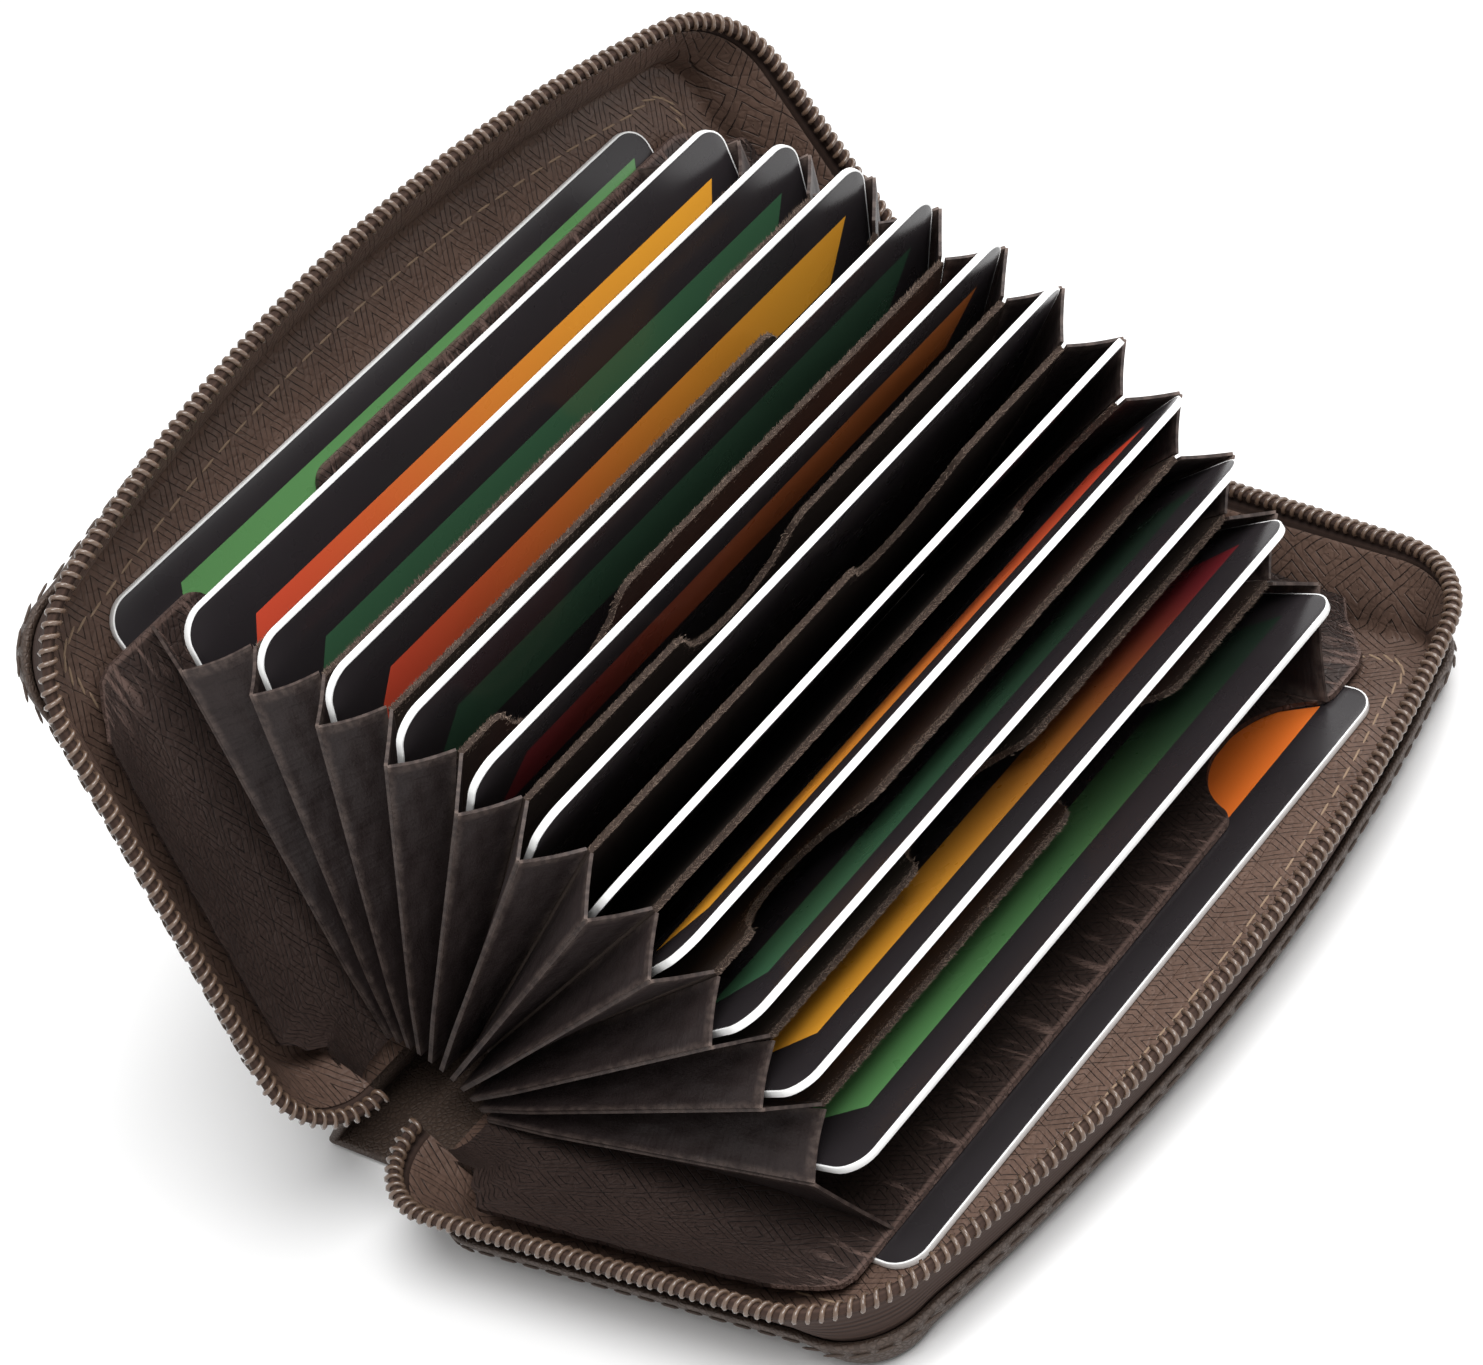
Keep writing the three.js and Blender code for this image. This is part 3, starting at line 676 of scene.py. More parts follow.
def blankCard():
    bpy.ops.mesh.primitive_cube_add(size=1, location=(0, -leaf["cardMiddle"], 0))
    piece = bpy.context.object
    piece.scale = (card["length"], card["width"], card["thick"])
    bpy.ops.object.transform_apply(location=True, rotation=True, scale=True)
    bpy.ops.object.mode_set(mode="EDIT")
    bpy.ops.mesh.select_mode(type="EDGE")
    bpy.ops.mesh.select_all(action="DESELECT")
    work = bmesh.from_edit_mesh(piece.data)
    for edge in work.edges:
        run = edge.verts[1].co - edge.verts[0].co
        edge.select = abs(run.z) > card["thick"] / 2
    bmesh.update_edit_mesh(piece.data)
    bpy.ops.mesh.bevel(offset=card["corner"], segments=card["cornerSteps"], affect="EDGES")
    bpy.ops.object.mode_set(mode="OBJECT")
    roundEdges(piece, card["rim"], card["rimSteps"])
    keepFlat(piece)
    smooth(piece)
    return piece


firstCard = blankCard()
for k in range(1, leaf["cards"] + 1):
    node = f"card_{k:02d}"
    near, far = cardColours[k]
    skin = cardPlastic(k, near, far, cardBand["endTop"] if k == 1 else cardBand["top"])
    piece = copyOf(firstCard, f"bankCard{k:02d}")
    settle(piece, cardPlace[k], f"bank_card_{k:02d}", skin, [node])
bpy.data.objects.remove(firstCard)
print("cards made")


# Dividers: a grid of leather with its thumb notch cut out, gently uneven, with a raw hairy top
divider = {
    "half": 39.1 * mm,
    "foot": 4.2 * mm,
    "top": 54.5 * mm,
    "thick": 0.64 * mm,
    "cuts": 26,
    "notchRadius": 9.2 * mm,
    "notchDepth": 7.6 * mm,
    "notchEase": 2.4 * mm,
    "notchFirst": 15.25 * mm,
    "notchStep": 18 * mm,
    "notchCycle": 4,
    "notchSteps": 64,
    "toolOver": 5 * mm,  # how far the notch's tool reaches past the leather
    "toolRise": 10 * mm,
    "sway": 0.02 * mm,
    "swayWaves": ((9 * mm, 1.7), (23 * mm, 2.9)),  # how long each wave is, and its shift per leaf
    "hairs": 2800,
    "hairLength": 0.75 * mm,
    "hairThick": 0.08 * mm,
    "hairRoom": 0.05 * mm,
    "hairShares": (0.35, 1.0),  # of the full length
    "hairSide": 0.9,
    "hairTilt": (0.1, 1.3),
    "hairSunk": 0.15,  # this share of a hair is in the leather
    "hairKnee": 0.55,
    "hairSwing": 3,
    "hairTip": 3,
    "hairTaper": 0.6,
    "hairRim": 0.6,  # this share of the hairs stands just below the rim
    "hairDown": 1.1 * mm,
}


def notchMiddle(place):
    steps = place % divider["notchCycle"]
    return -divider["half"] + divider["notchFirst"] + steps * divider["notchStep"]


def notchShape():
    # centre height over the top edge, and where the eased corner starts and meets the arc
    radius, ease = divider["notchRadius"], divider["notchEase"]
    over = radius - divider["notchDepth"]
    start = math.sqrt((radius + ease) ** 2 - (over + ease) ** 2)
    meet = start * radius / (radius + ease)
    return over, start, meet


def notchEdge(offset, top):
    # height of the edge at a distance from the notch's middle, and its outward direction
    radius, ease = divider["notchRadius"], divider["notchEase"]
    over, start, meet = notchShape()
    away = abs(offset)
    if away >= start:
        return top, 0.0, 1.0
    if away > meet:
        drop = math.sqrt(ease ** 2 - (start - away) ** 2)
        return top - ease + drop, math.copysign((away - start) / ease, offset), drop / ease
    drop = math.sqrt(radius ** 2 - away ** 2)
    return top + over - drop, -offset / radius, drop / radius


def cutNotch(piece, middle, top):
    _, start, _ = notchShape()
    outline = []
    for i in range(divider["notchSteps"] + 1):
        offset = start * math.sin(math.pi * (i / divider["notchSteps"] - 0.5))
        outline.append((middle + offset, notchEdge(offset, top)[0]))
    over = top + divider["toolOver"]
    outline += [(middle + start, over), (middle - start, over)]
    tool = prism("notchTool", outline, -divider["toolRise"], divider["toolRise"])
    cut = piece.modifiers.new("notch", "BOOLEAN")
    cut.operation = "DIFFERENCE"
    cut.solver = "EXACT"
    cut.object = tool
    applyAll(piece)
    bpy.data.objects.remove(tool)


def leatherSheet(name, half, foot, top, thick, cuts):
    # a slab with cuts across it both ways, so that it can bend
    bpy.ops.mesh.primitive_cube_add(size=1, location=(0, -(foot + top) / 2, 0))
    piece = bpy.context.object
    piece.name = name
    piece.data.name = name
    piece.scale = (2 * half, top - foot, thick)
    bpy.ops.object.transform_apply(location=True, rotation=True, scale=True)
    work = bmesh.new()
    work.from_mesh(piece.data)
    for normal, low, high in (((1, 0, 0), -half, half), ((0, 1, 0), -top, -foot)):
        for i in range(1, cuts):
            spot = low + (high - low) * i / cuts
            point = (spot, 0, 0) if normal[0] else (0, spot, 0)
            parts = work.verts[:] + work.edges[:] + work.faces[:]
            bmesh.ops.bisect_plane(work, geom=parts, plane_co=point, plane_no=normal)
    work.to_mesh(piece.data)
    work.free()
    return piece


def sway(piece, seed):
    for v in piece.data.vertices:
        reach = -v.co.y / divider["top"]
        wave = sum(math.sin(v.co.x / long + seed * shift) for long, shift in divider["swayWaves"])
        v.co.z += divider["sway"] * reach * reach * wave


def hairs(name, spots, limit, seed):
    # short tapered fibres, three-sided, that stand along a raw edge
    chance = random.Random(seed)
    swing = divider["hairSwing"]
    points, faces = [], []
    for x, r, z, nx, nr in spots:
        span = divider["hairLength"] * chance.uniform(*divider["hairShares"])
        side = chance.uniform(-divider["hairSide"], divider["hairSide"])
        tilt = math.copysign(chance.uniform(*divider["hairTilt"]), z)
        run = Vector((nx + side * nr, -(nr - side * nx), tilt)).normalized() * span
        root = Vector((x, -r, z)) - run * divider["hairSunk"]
        across = run.cross(Vector((0, 0, 1))).normalized() * divider["hairThick"] / 2
        upward = run.cross(across).normalized() * divider["hairThick"] / 2
        first = len(points)
        arms = (across, upward - across / 2, -upward - across / 2)
        bend = across * chance.uniform(-swing, swing) + upward * chance.uniform(-swing, swing)
        middle = root + run * divider["hairKnee"] + bend
        points += [root + arm for arm in arms]
        points += [middle + arm * divider["hairTaper"] for arm in arms]
        points.append(root + run + bend * divider["hairTip"])
        for spot in points[first:]:
            spot.z = within(spot.z, -limit, limit)
        faces += [(first, first + 1, first + 2)]
        for i in range(3):
            j = (i + 1) % 3
            faces.append((first + i, first + j, first + 3 + j, first + 3 + i))
            faces.append((first + 3 + i, first + 3 + j, first + 6))
    return closedPiece(name, points, faces)


def topEdge(middle, seed):
    # spots along a top edge with its notch, on the rim and just down both faces
    chance = random.Random(seed)
    spots = []
    for _ in range(divider["hairs"]):
        x = chance.uniform(-divider["half"], divider["half"])
        z = chance.uniform(-divider["thick"] / 2, divider["thick"] / 2)
        r, nx, nr = notchEdge(x - middle, divider["top"])
        if chance.random() < divider["hairRim"]:
            down = chance.random() ** 2 * divider["hairDown"]
            z = math.copysign(divider["thick"] / 2, z)
            x, r = x - nx * down, r - nr * down
        spots.append((x, r, z, nx, nr))
    return spots


for k in range(2, leaf["cards"] - 1):
    name, body = f"divider_{k:02d}", f"leaf_{k:02d}"
    piece = leatherSheet(f"pocketDivider{k:02d}", divider["half"], divider["foot"],
                         divider["top"], divider["thick"], divider["cuts"])
    middle = notchMiddle(k - 1)
    cutNotch(piece, middle, divider["top"])
    keepFlat(piece)
    sway(piece, k)
    smooth(piece, 30)
    settle(piece, dividerPlace[k], body, finishes["divider"], [name])
    limit = divider["thick"] / 2 + divider["hairRoom"]
    fuzz = hairs(f"rawEdge{k:02d}", topEdge(middle, 40 + k), limit, 90 + k)
    sway(fuzz, k)
    settle(fuzz, dividerPlace[k], body, finishes["rawEdge"])
print("dividers made")


# Rim of a cover, as the zip follows it: curl at the spine, side, corner, bowed free edge, back
rim = {
    "half": 61 * mm,
    "reach": 73.2 * mm,
    "bow": 187 * mm,
    "corner": 14 * mm,
    "curl": 9.5 * mm,
    "foot": 4.4 * mm,
    "lean": math.radians(5.6),
    "farFoot": 20 * mm,
    "step": 1.2 * mm,
    "wallLean": 5.9 * mm,
    "cornerLean": 3.9 * mm,
    "stiffShare": 0.25,
    "leanLow": 1.1 * mm,
    "leanHigh": 10.54 * mm,
    "curlCore": 0.4 * mm,  # how near the curl's centre anything comes
    "besideSlider": 7.9 * mm,  # the wall's top there
    "besideFade": 3 * mm,
    "arcSteps": 24,
    "bowSteps": 60,
}
curlX = rim["half"] - rim["curl"]
curlR = rim["foot"] + rim["curl"]


def leanAt(nx, nr, z):
    # how far the wall stands inside the zip at height z; the corners lean less
    stiff = max(2 * abs(nx) * nr - rim["stiffShare"], 0) / (1 - rim["stiffShare"])
    lean = rim["wallLean"] + (rim["cornerLean"] - rim["wallLean"]) * stiff
    rise = min((z - rim["leanLow"]) / (rim["leanHigh"] - rim["leanLow"]), 1)
    return lean * (1 - rise)


def evenSpots(marks, step):
    # even spots along a line of marks, each with its distance run and the way the line goes
    lengths = [0.0]
    for a, b in zip(marks, marks[1:]):
        lengths.append(lengths[-1] + (b - a).length)
    count = round(lengths[-1] / step)
    spots = []
    place = 0
    for i in range(count + 1):
        run = lengths[-1] * i / count
        while place < len(marks) - 2 and lengths[place + 1] < run:
            place += 1
        a, b = marks[place], marks[place + 1]
        gap = lengths[place + 1] - lengths[place]
        share = (run - lengths[place]) / gap if gap else 0
        spots.append((a.lerp(b, share), run, (b - a).normalized()))
    return spots


def arc(centre, radius, first, last, count):
    turns = [first + (last - first) * i / count for i in range(count + 1)]
    return [Vector((centre[0] + radius * math.cos(t), centre[1] + radius * math.sin(t)))
            for t in turns]


def rimLine(step, farFoot=None):
    # even spots along the rim, each with its outward direction and its distance run
    corner = rim["corner"]
    bow = Vector((0, rim["reach"] - rim["bow"]))
    up = Vector((math.sin(rim["lean"]), math.cos(rim["lean"])))
    inward = Vector((math.cos(rim["lean"]), -math.sin(rim["lean"])))
    fromBow = Vector((-rim["half"], curlR)) + inward * corner - bow
    along = fromBow.dot(up)
    reach = rim["bow"] - corner
    side = math.sqrt(along ** 2 - fromBow.length_squared + reach ** 2) - along
    cornerAt = fromBow + up * side + bow
    bowTurn = math.atan2((cornerAt - bow).y, (cornerAt - bow).x)
    near = arc((-curlX, curlR), rim["curl"], -math.pi / 2, -math.pi, rim["arcSteps"])
    near += arc(cornerAt, corner, math.pi - rim["lean"], bowTurn, rim["arcSteps"])
    crest = arc(bow, rim["bow"], bowTurn, math.pi - bowTurn, rim["bowSteps"])
    far = [Vector((-p.x, p.y)) for p in reversed(near)]
    if farFoot:
        far = [p for p in far if p.y > farFoot]
        far.append(far[-1] + (far[-1] - far[-2]).normalized() * (far[-1].y - farFoot))
    spots = evenSpots(near + crest[1:-1] + far, step)
    line = []
    for i, (p, run, _) in enumerate(spots):
        before = spots[max(i - 1, 0)][0]
        after = spots[min(i + 1, len(spots) - 1)][0]
        tangent = (after - before).normalized()
        line.append((p.x, p.y, -tangent.y, tangent.x, run))
    return line


def wallTop(x, r):
    # beside the slider the wall stays low
    if x < 0:
        return rim["leanHigh"]
    share = within((r - rim["farFoot"]) / rim["besideFade"])
    return rim["besideSlider"] + (rim["leanHigh"] - rim["besideSlider"]) * share


def sweep(name, line, profile, sign, flatProfile=False, capped=False):
    # carries a closed profile of out and z along the rim
    points, flats = [], []
    for x, r, nx, nr, _ in line:
        across = 0.0
        for j, (out, z) in enumerate(profile):
            if j:
                across += math.dist(profile[j - 1], (out, z))
            if capped:
                z = min(z, wallTop(x, r))
            reach = out - leanAt(nx, nr, z)
            if r < curlR:
                reach = max(reach, rim["curlCore"] - rim["curl"])
            spot = Vector((sign * (x + reach * nx), -(r + reach * nr), z))
            points.append(spot)
            flats.append(Vector((reach, across, 0)) if flatProfile else spot.copy())
    piece = closedPiece(name, points, ringFaces(0, len(line), len(profile)))
    setFlat(piece, flats)
    return piece


def rounded(profile, times=2):
    # a closed profile given in millimetres, its corners cut so that it turns softly
    profile = [(x * mm, z * mm) for x, z in profile]
    for _ in range(times):
        soft = []
        for i, (x, z) in enumerate(profile):
            nx, nz = profile[(i + 1) % len(profile)]
            soft.append((x * 0.75 + nx * 0.25, z * 0.75 + nz * 0.25))
            soft.append((x * 0.25 + nx * 0.75, z * 0.25 + nz * 0.75))
        profile = soft
    return profile


def plateWithin(name, inset, foot, low, high):
    # flat layer inside the rim, from the spine out
    outline = []
    for x, r, nx, nr, _ in rimLine(rim["step"] * 2):
        reach = inset + leanAt(nx, nr, low)
        if r < curlR:
            reach = min(reach, rim["curl"] - rim["curlCore"])
        outline.append((x - reach * nx, r - reach * nr))
    piece = prism(name, outline + [(curlX, foot), (-curlX, foot)], low, high)
    keepFlat(piece)
    return piece


# Leather shell: a flat plate and a soft turned-up edge round it
shell = {
    "thick": 1.0 * mm,
    "edge": [(-3.0, 0.02), (0.4, 0.0), (1.25, 0.4), (1.6, 1.5), (1.55, 3.2), (1.4, 4.5),
             (1.0, 5.0), (0.4, 4.8), (0.3, 4.2), (0.35, 3.0), (0.35, 1.6), (-0.2, 0.98),
             (-3.0, 0.98)],
    "plateInset": 0.6 * mm,
    "plateGap": 0.03 * mm,
    "spineGap": 0.8 * mm,
}

for side, sign in covers:
    tag = side.upper()
    edge = sweep(f"leatherEdge{tag}", rimLine(rim["step"]), rounded(shell["edge"]), sign)
    smooth(edge, 50)
    ontoCover(edge, side, "leather", [f"leather_{side}"])
    plate = plateWithin(f"leatherPlate{tag}", shell["plateInset"], shell["spineGap"],
                        shell["plateGap"], shell["thick"] - shell["plateGap"])
    ontoCover(plate, side, "leather")
print("shells made")


# Lining: flat under the cards, then rising to the tape like the side of a tray
lining = {
    "rise": [(-7.5, 2.30), (-2.2, 2.30), (-0.75, 2.32), (-0.42, 2.9), (-0.62, 3.7),
             (-0.95, 4.7), (-1.12, 5.8), (-1.1, 7.2), (-0.9, 8.8), (-0.74, 9.9), (-0.52, 9.9),
             (-0.56, 8.8), (-0.6, 7.0), (-0.6, 5.0), (-0.5, 3.9), (-0.22, 3.0), (-0.4, 2.2),
             (-1.1, 1.98), (-7.5, 1.95)],
    "low": 1.95 * mm,
    "high": 2.3 * mm,
    "floorInset": 7.0 * mm,
    "floorFoot": 1.2 * mm,
    "stitchIn": 3.67 * mm,
    "stitchUp": 2.24 * mm,
    "seamOut": 1.66 * mm,
    "seamUp": 3.5 * mm,
    "stitchLength": 2.1 * mm,
    "stitchPitch": 2.9 * mm,
    "stitchThick": 0.32 * mm,
    "stitchSides": 6,
    "stitchTaper": ((-0.5, 0.3), (-0.3, 1.0), (0.3, 1.0), (0.5, 0.3)),  # share along, girth
    "unsewn": 2,  # stitches left out at both ends of a row
}

for side, sign in covers:
    tag = side.upper()
    profile = rounded(lining["rise"], 1)
    tray = sweep(f"liningRise{tag}", rimLine(rim["step"]), profile, sign, capped=True)
    smooth(tray, 50)
    ontoCover(tray, side, "lining", [f"lining_{side}"])
    floor = plateWithin(f"liningFloor{tag}", lining["floorInset"], lining["floorFoot"],
                        lining["low"], lining["high"])
    ontoCover(floor, side, "lining")


def stitchRow(name, line, sign, inset, height):
    # short straight stitches, each a bar with tapered ends
    points, faces = [], []
    sides, taper = lining["stitchSides"], lining["stitchTaper"]
    for x, r, nx, nr, _ in line[lining["unsewn"]:-lining["unsewn"]]:
        inward = inset + leanAt(nx, nr, height)
        middle = Vector((sign * (x - inward * nx), -(r - inward * nr), height))
        run = Vector((sign * nr, nx, 0)).normalized()
        out = Vector((sign * nx, -nr, 0)).normalized()
        up = Vector((0, 0, 1))
        faces += ringFaces(len(points), len(taper), sides)
        for share, girth in taper:
            centre = middle + run * lining["stitchLength"] * share
            reach = lining["stitchThick"] / 2 * girth
            for i in range(sides):
                turn = 2 * math.pi * i / sides
                points.append(centre + out * math.cos(turn) * reach + up * math.sin(turn) * reach)
    return closedPiece(name, points, faces)


for side, sign in covers:
    tag = side.upper()
    line = rimLine(lining["stitchPitch"])
    row = stitchRow(f"liningStitches{tag}", line, sign, lining["stitchIn"], lining["stitchUp"])
    smooth(row, 60)
    ontoCover(row, side, "thread")
    row = stitchRow(f"rimStitches{tag}", line, sign, -lining["seamOut"], lining["seamUp"])
    smooth(row, 60)
    ontoCover(row, side, "darkThread")
print("linings made")


# Pocket panel of a cover: its ends ride up the leaning walls, a thumb notch is cut in its top
panel = {
    "half": 57 * mm,
    "foot": 4.0 * mm,
    "top": 55 * mm,
    "thick": 0.6 * mm,
    "low": 3.26 * mm,
    "cuts": 40,
    "bulge": 0.07 * mm,
    "endFrom": 46 * mm,
    "endRoom": 2.6 * mm,
    "endRise": 3.2 * mm,
    "endSpread": 1.28 * mm,
    "endDip": 4.5 * mm,
    "wallAt": 4 * mm,  # the height at which the ends meet the wall
    "place": {"b": 11, "a": 0},
}


def sideLimit(r):
    # where the wall's inner face stands, as a distance from the middle
    inward = leanAt(1, 0, panel["wallAt"]) + panel["endRoom"]
    if r < curlR:
        bend = math.sqrt(max((rim["curl"] - inward) ** 2 - (curlR - r) ** 2, 0))
        return curlX + bend - panel["endSpread"]
    line = [p for p in rimLine(rim["step"])
            if p[0] < 0 and curlR < p[1] < rim["reach"] - rim["corner"]]
    nearest = min(line, key=lambda p: abs(p[1] - r))
    return -nearest[0] - inward


def pocketPanel(side, sign):
    piece = leatherSheet(f"pocketPanel{side.upper()}", panel["half"], panel["foot"], panel["top"],
                         panel["thick"], panel["cuts"])
    cutNotch(piece, sign * notchMiddle(panel["place"][side]), panel["top"])
    keepFlat(piece)
    limits = {}
    for v in piece.data.vertices:
        r = -v.co.y
        key = round(r / mm)
        if key not in limits:
            limits[key] = sideLimit(key * mm)
        wide = abs(v.co.x)
        end = max((wide - panel["endFrom"]) / (panel["half"] - panel["endFrom"]), 0)
        if end:
            wide = panel["endFrom"] + end * (limits[key] + panel["endSpread"] - panel["endFrom"])
            v.co.x = math.copysign(wide, v.co.x)
        v.co.y += panel["endDip"] * eased(end) * (r / panel["top"]) ** 6
        across = max(math.cos(v.co.x / panel["half"] * math.pi / 2), 0)
        lift = panel["bulge"] * across * (r / panel["top"]) ** 3
        v.co.z += panel["low"] + panel["thick"] / 2 + lift + panel["endRise"] * end ** 2
    smooth(piece, 30)
    return piece


for side, sign in covers:
    ontoCover(pocketPanel(side, sign), side, "panel", [f"panel_{side}"])
print("panels made")


# Zip tape standing along the edge, and the coil on it
zipper = {
    "tape": [(0.1, 3.6), (0.35, 5.2), (0.25, 7.4), (0.2, 9.4), (0.25, 10.5), (0.6, 11.05),
             (0.6, 11.6), (0.32, 11.82), (-0.22, 11.82), (-0.5, 11.6), (-0.5, 11.05),
             (-0.35, 10.5), (-0.4, 9.2), (-0.35, 7.2), (-0.25, 5.2),
             (-0.5, 3.6)],  # its top is the coil's core
    "tapeEnd": [(0.1, 3.6), (0.33, 5.2), (0.22, 7.2), (0.1, 7.9), (-0.3, 7.9), (-0.4, 7.1),
                (-0.27, 5.2), (-0.5, 3.6)],
    "tapeLap": 0.8 * mm,
    "pitch": 1.25 * mm,
    "halfWide": 0.80 * mm,
    "halfHigh": 0.60 * mm,
    "wire": 0.27 * mm,
    "centreOut": 0.05 * mm,
    "centreUp": 11.41 * mm,
    "perTurn": 12,
}


def windWire(name, frames, pitch, halfOut, halfUp, thick):
    # one unbroken wire wound about a line of spots, each with its two directions across
    total = frames[-1][0]
    turns = int(total / pitch)
    count = turns * zipper["perTurn"]
    spots = []
    place = 0
    for i in range(count + 1):
        run = total * i / count
        while place < len(frames) - 2 and frames[place + 1][0] < run:
            place += 1
        a, b = frames[place], frames[place + 1]
        share = (run - a[0]) / (b[0] - a[0])
        centre, out, up = (a[n].lerp(b[n], share) for n in (1, 2, 3))
        turn = 2 * math.pi * i / zipper["perTurn"]
        spots.append(centre + out * halfOut * math.cos(turn) + up * halfUp * math.sin(turn))
    curve = bpy.data.curves.new(name, "CURVE")
    curve.dimensions = "3D"
    curve.bevel_depth = thick
    curve.bevel_resolution = 1
    curve.use_fill_caps = True
    spline = curve.splines.new("POLY")
    spline.points.add(len(spots) - 1)
    for point, spot in zip(spline.points, spots):
        point.co = (*spot, 1)
    wire = newObject(name, curve)
    selectOnly(wire)
    bpy.ops.object.convert(target="MESH")
    return bpy.context.object


def coil(name, line, sign):
    frames = []
    for x, r, nx, nr, run in line:
        out = Vector((sign * nx, -nr, 0))
        spot = Vector((sign * x, -r, zipper["centreUp"])) + out * zipper["centreOut"]
        frames.append((run, spot, out, Vector((0, 0, 1))))
    return windWire(name, frames, zipper["pitch"], zipper["halfWide"], zipper["halfHigh"],
                    zipper["wire"])


for side, sign in covers:
    tag = side.upper()
    zipLine = rimLine(rim["step"], rim["farFoot"])
    tape = sweep(f"zipTape{tag}", zipLine, rounded(zipper["tape"], 1), sign, flatProfile=True)
    smooth(tape, 50)
    ontoCover(tape, side, "tape", [f"tape_{side}"])
    line = [spot for spot in rimLine(rim["step"])
            if spot[0] > 0 and spot[1] < rim["farFoot"] + zipper["tapeLap"]]
    tape = sweep(f"zipTapeEnd{tag}", line, rounded(zipper["tapeEnd"], 1), sign, flatProfile=True)
    smooth(tape, 50)
    ontoCover(tape, side, "tape")
    wire = coil(f"zipCoil{tag}", zipLine, sign)
    smooth(wire, 80)
    ontoCover(wire, side, "coil", [f"teeth_{side}"])
print("zip made")


# Gussets: thin leather folded outward at each end of a pocket, one leg to each neighbour
gusset = {
    "in": 39.3 * mm,
    "reach": 44.7 * mm,
    "foot": 4.6 * mm,
    "top": 55.0 * mm,
    "thick": 0.34 * mm,
    "levels": 22,
    "across": 8,
    "crown": 0.35 * mm,
    "belly": 0.30 * mm,
    "fold": 0.10 * mm,
    "pinch": 0.4 * mm,
    "pinchShare": 0.2,  # of the height, above the foot
    "ontoDivider": 0.32 * mm,
}


def gussetLeg(name, k, neighbour, towards, end):
    # from the fold at the pocket's own plane (share 0) to the neighbouring leaf's end (share 1)
    here, there = cardPlace[k], neighbour["place"]
    points, flats, faces = [], [], []
    rows, columns = gusset["levels"], gusset["across"]
    for i in range(rows + 1):
        level = i / rows
        r = gusset["foot"] + (gusset["top"] - gusset["foot"]) * level
        pinch = gusset["pinch"] * (1 - min(level / gusset["pinchShare"], 1.0))
        for j in range(columns + 1):
            share = j / columns
            reach = gusset["reach"] - pinch
            x = end * (reach + (gusset["in"] - reach) * share)
            a = here @ Vector((x, -r, towards * gusset["fold"]))
            b = there @ Vector((x, -r, -towards * neighbour["off"]))
            spot = a.lerp(b, share)
            arch = math.sin(share * math.pi)
            spot.x += end * gusset["belly"] * arch * math.sin(level * math.pi)
            spot += (here.to_3x3() @ Vector((0, 1, 0))) * gusset["crown"] * arch * level ** 6
            points.append(spot)
            flats.append(Vector((x, -r, share * gussetLook["share"])))
    for i in range(rows):
        for j in range(columns):
            a = i * (columns + 1) + j
            faces.append((a, a + 1, a + columns + 2, a + columns + 1))
    piece = newPiece(name, points, faces)
    setFlat(piece, flats)
    skin = piece.modifiers.new("skin", "SOLIDIFY")
    skin.thickness = gusset["thick"]
    skin.offset = 0
    applyAll(piece)
    outward(piece)
    smooth(piece, 60)
    return piece


def dividerBeside(k):
    return {"place": dividerPlace.get(k), "off": gusset["ontoDivider"], "body": f"leaf_{k:02d}"}


def panelBeside(k, side, lift):
    place = cardPlace[k] @ Matrix.Translation((0, 0, lift))
    return {"place": place, "off": 0.0, "body": f"cover_{side}"}


panelTop = panel["low"] + panel["thick"] - leaf["endCardMid"]
for k in range(2, leaf["cards"]):
    pocket, node = f"pocket_{k - 1:02d}", f"gusset_{k - 1:02d}"
    above, below = dividerBeside(k - 1), dividerBeside(k)
    if k == 2:
        above = panelBeside(1, "a", -panelTop)
    if k == leaf["cards"] - 1:
        below = panelBeside(leaf["cards"], "b", panelTop)
    firstLeg = True
    for neighbour, towards in ((above, 1), (below, -1)):
        for end in (-1, 1):
            tag = ("Up" if towards > 0 else "Down") + ("Near" if end < 0 else "Far")
            leg = gussetLeg(f"gusset{k - 1:02d}{tag}", k, neighbour, towards, end)
            leg.data.materials.append(finishes["gusset"])
            if firstLeg:
                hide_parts(node)
                firstLeg = False
            start = Vector((end * gusset["reach"], 0, 0))
            stop = Vector((end * gusset["in"], 0, 0))
            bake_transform(leg)
print("gussets made")


# Stiffening boards between the leather and the lining
board = {"inset": 4.6 * mm, "foot": 1.6 * mm}

low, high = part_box("board_b")
for side, _ in covers:
    plate = plateWithin(f"stiffener{side.upper()}", board["inset"], board["foot"], low.z, high.z)
    ontoCover(plate, side, "board", [f"board_{side}"])


# Spine leather: two strips that turn at the covers and meet each other in one round crease
spine = {
    "half": 51 * mm,
    "thick": 1.0 * mm,
    "lap": 1.4 * mm,
    "bend": 1.3 * mm,
    "round": 0.46 * mm,
    "roundSteps": 4,
    "setback": 1.66 * mm,
    "cuts": 26,
}
low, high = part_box("spine_b")
middle = spine["thick"] / 2
crease = Vector((0, high.y - middle + spine["setback"], middle))

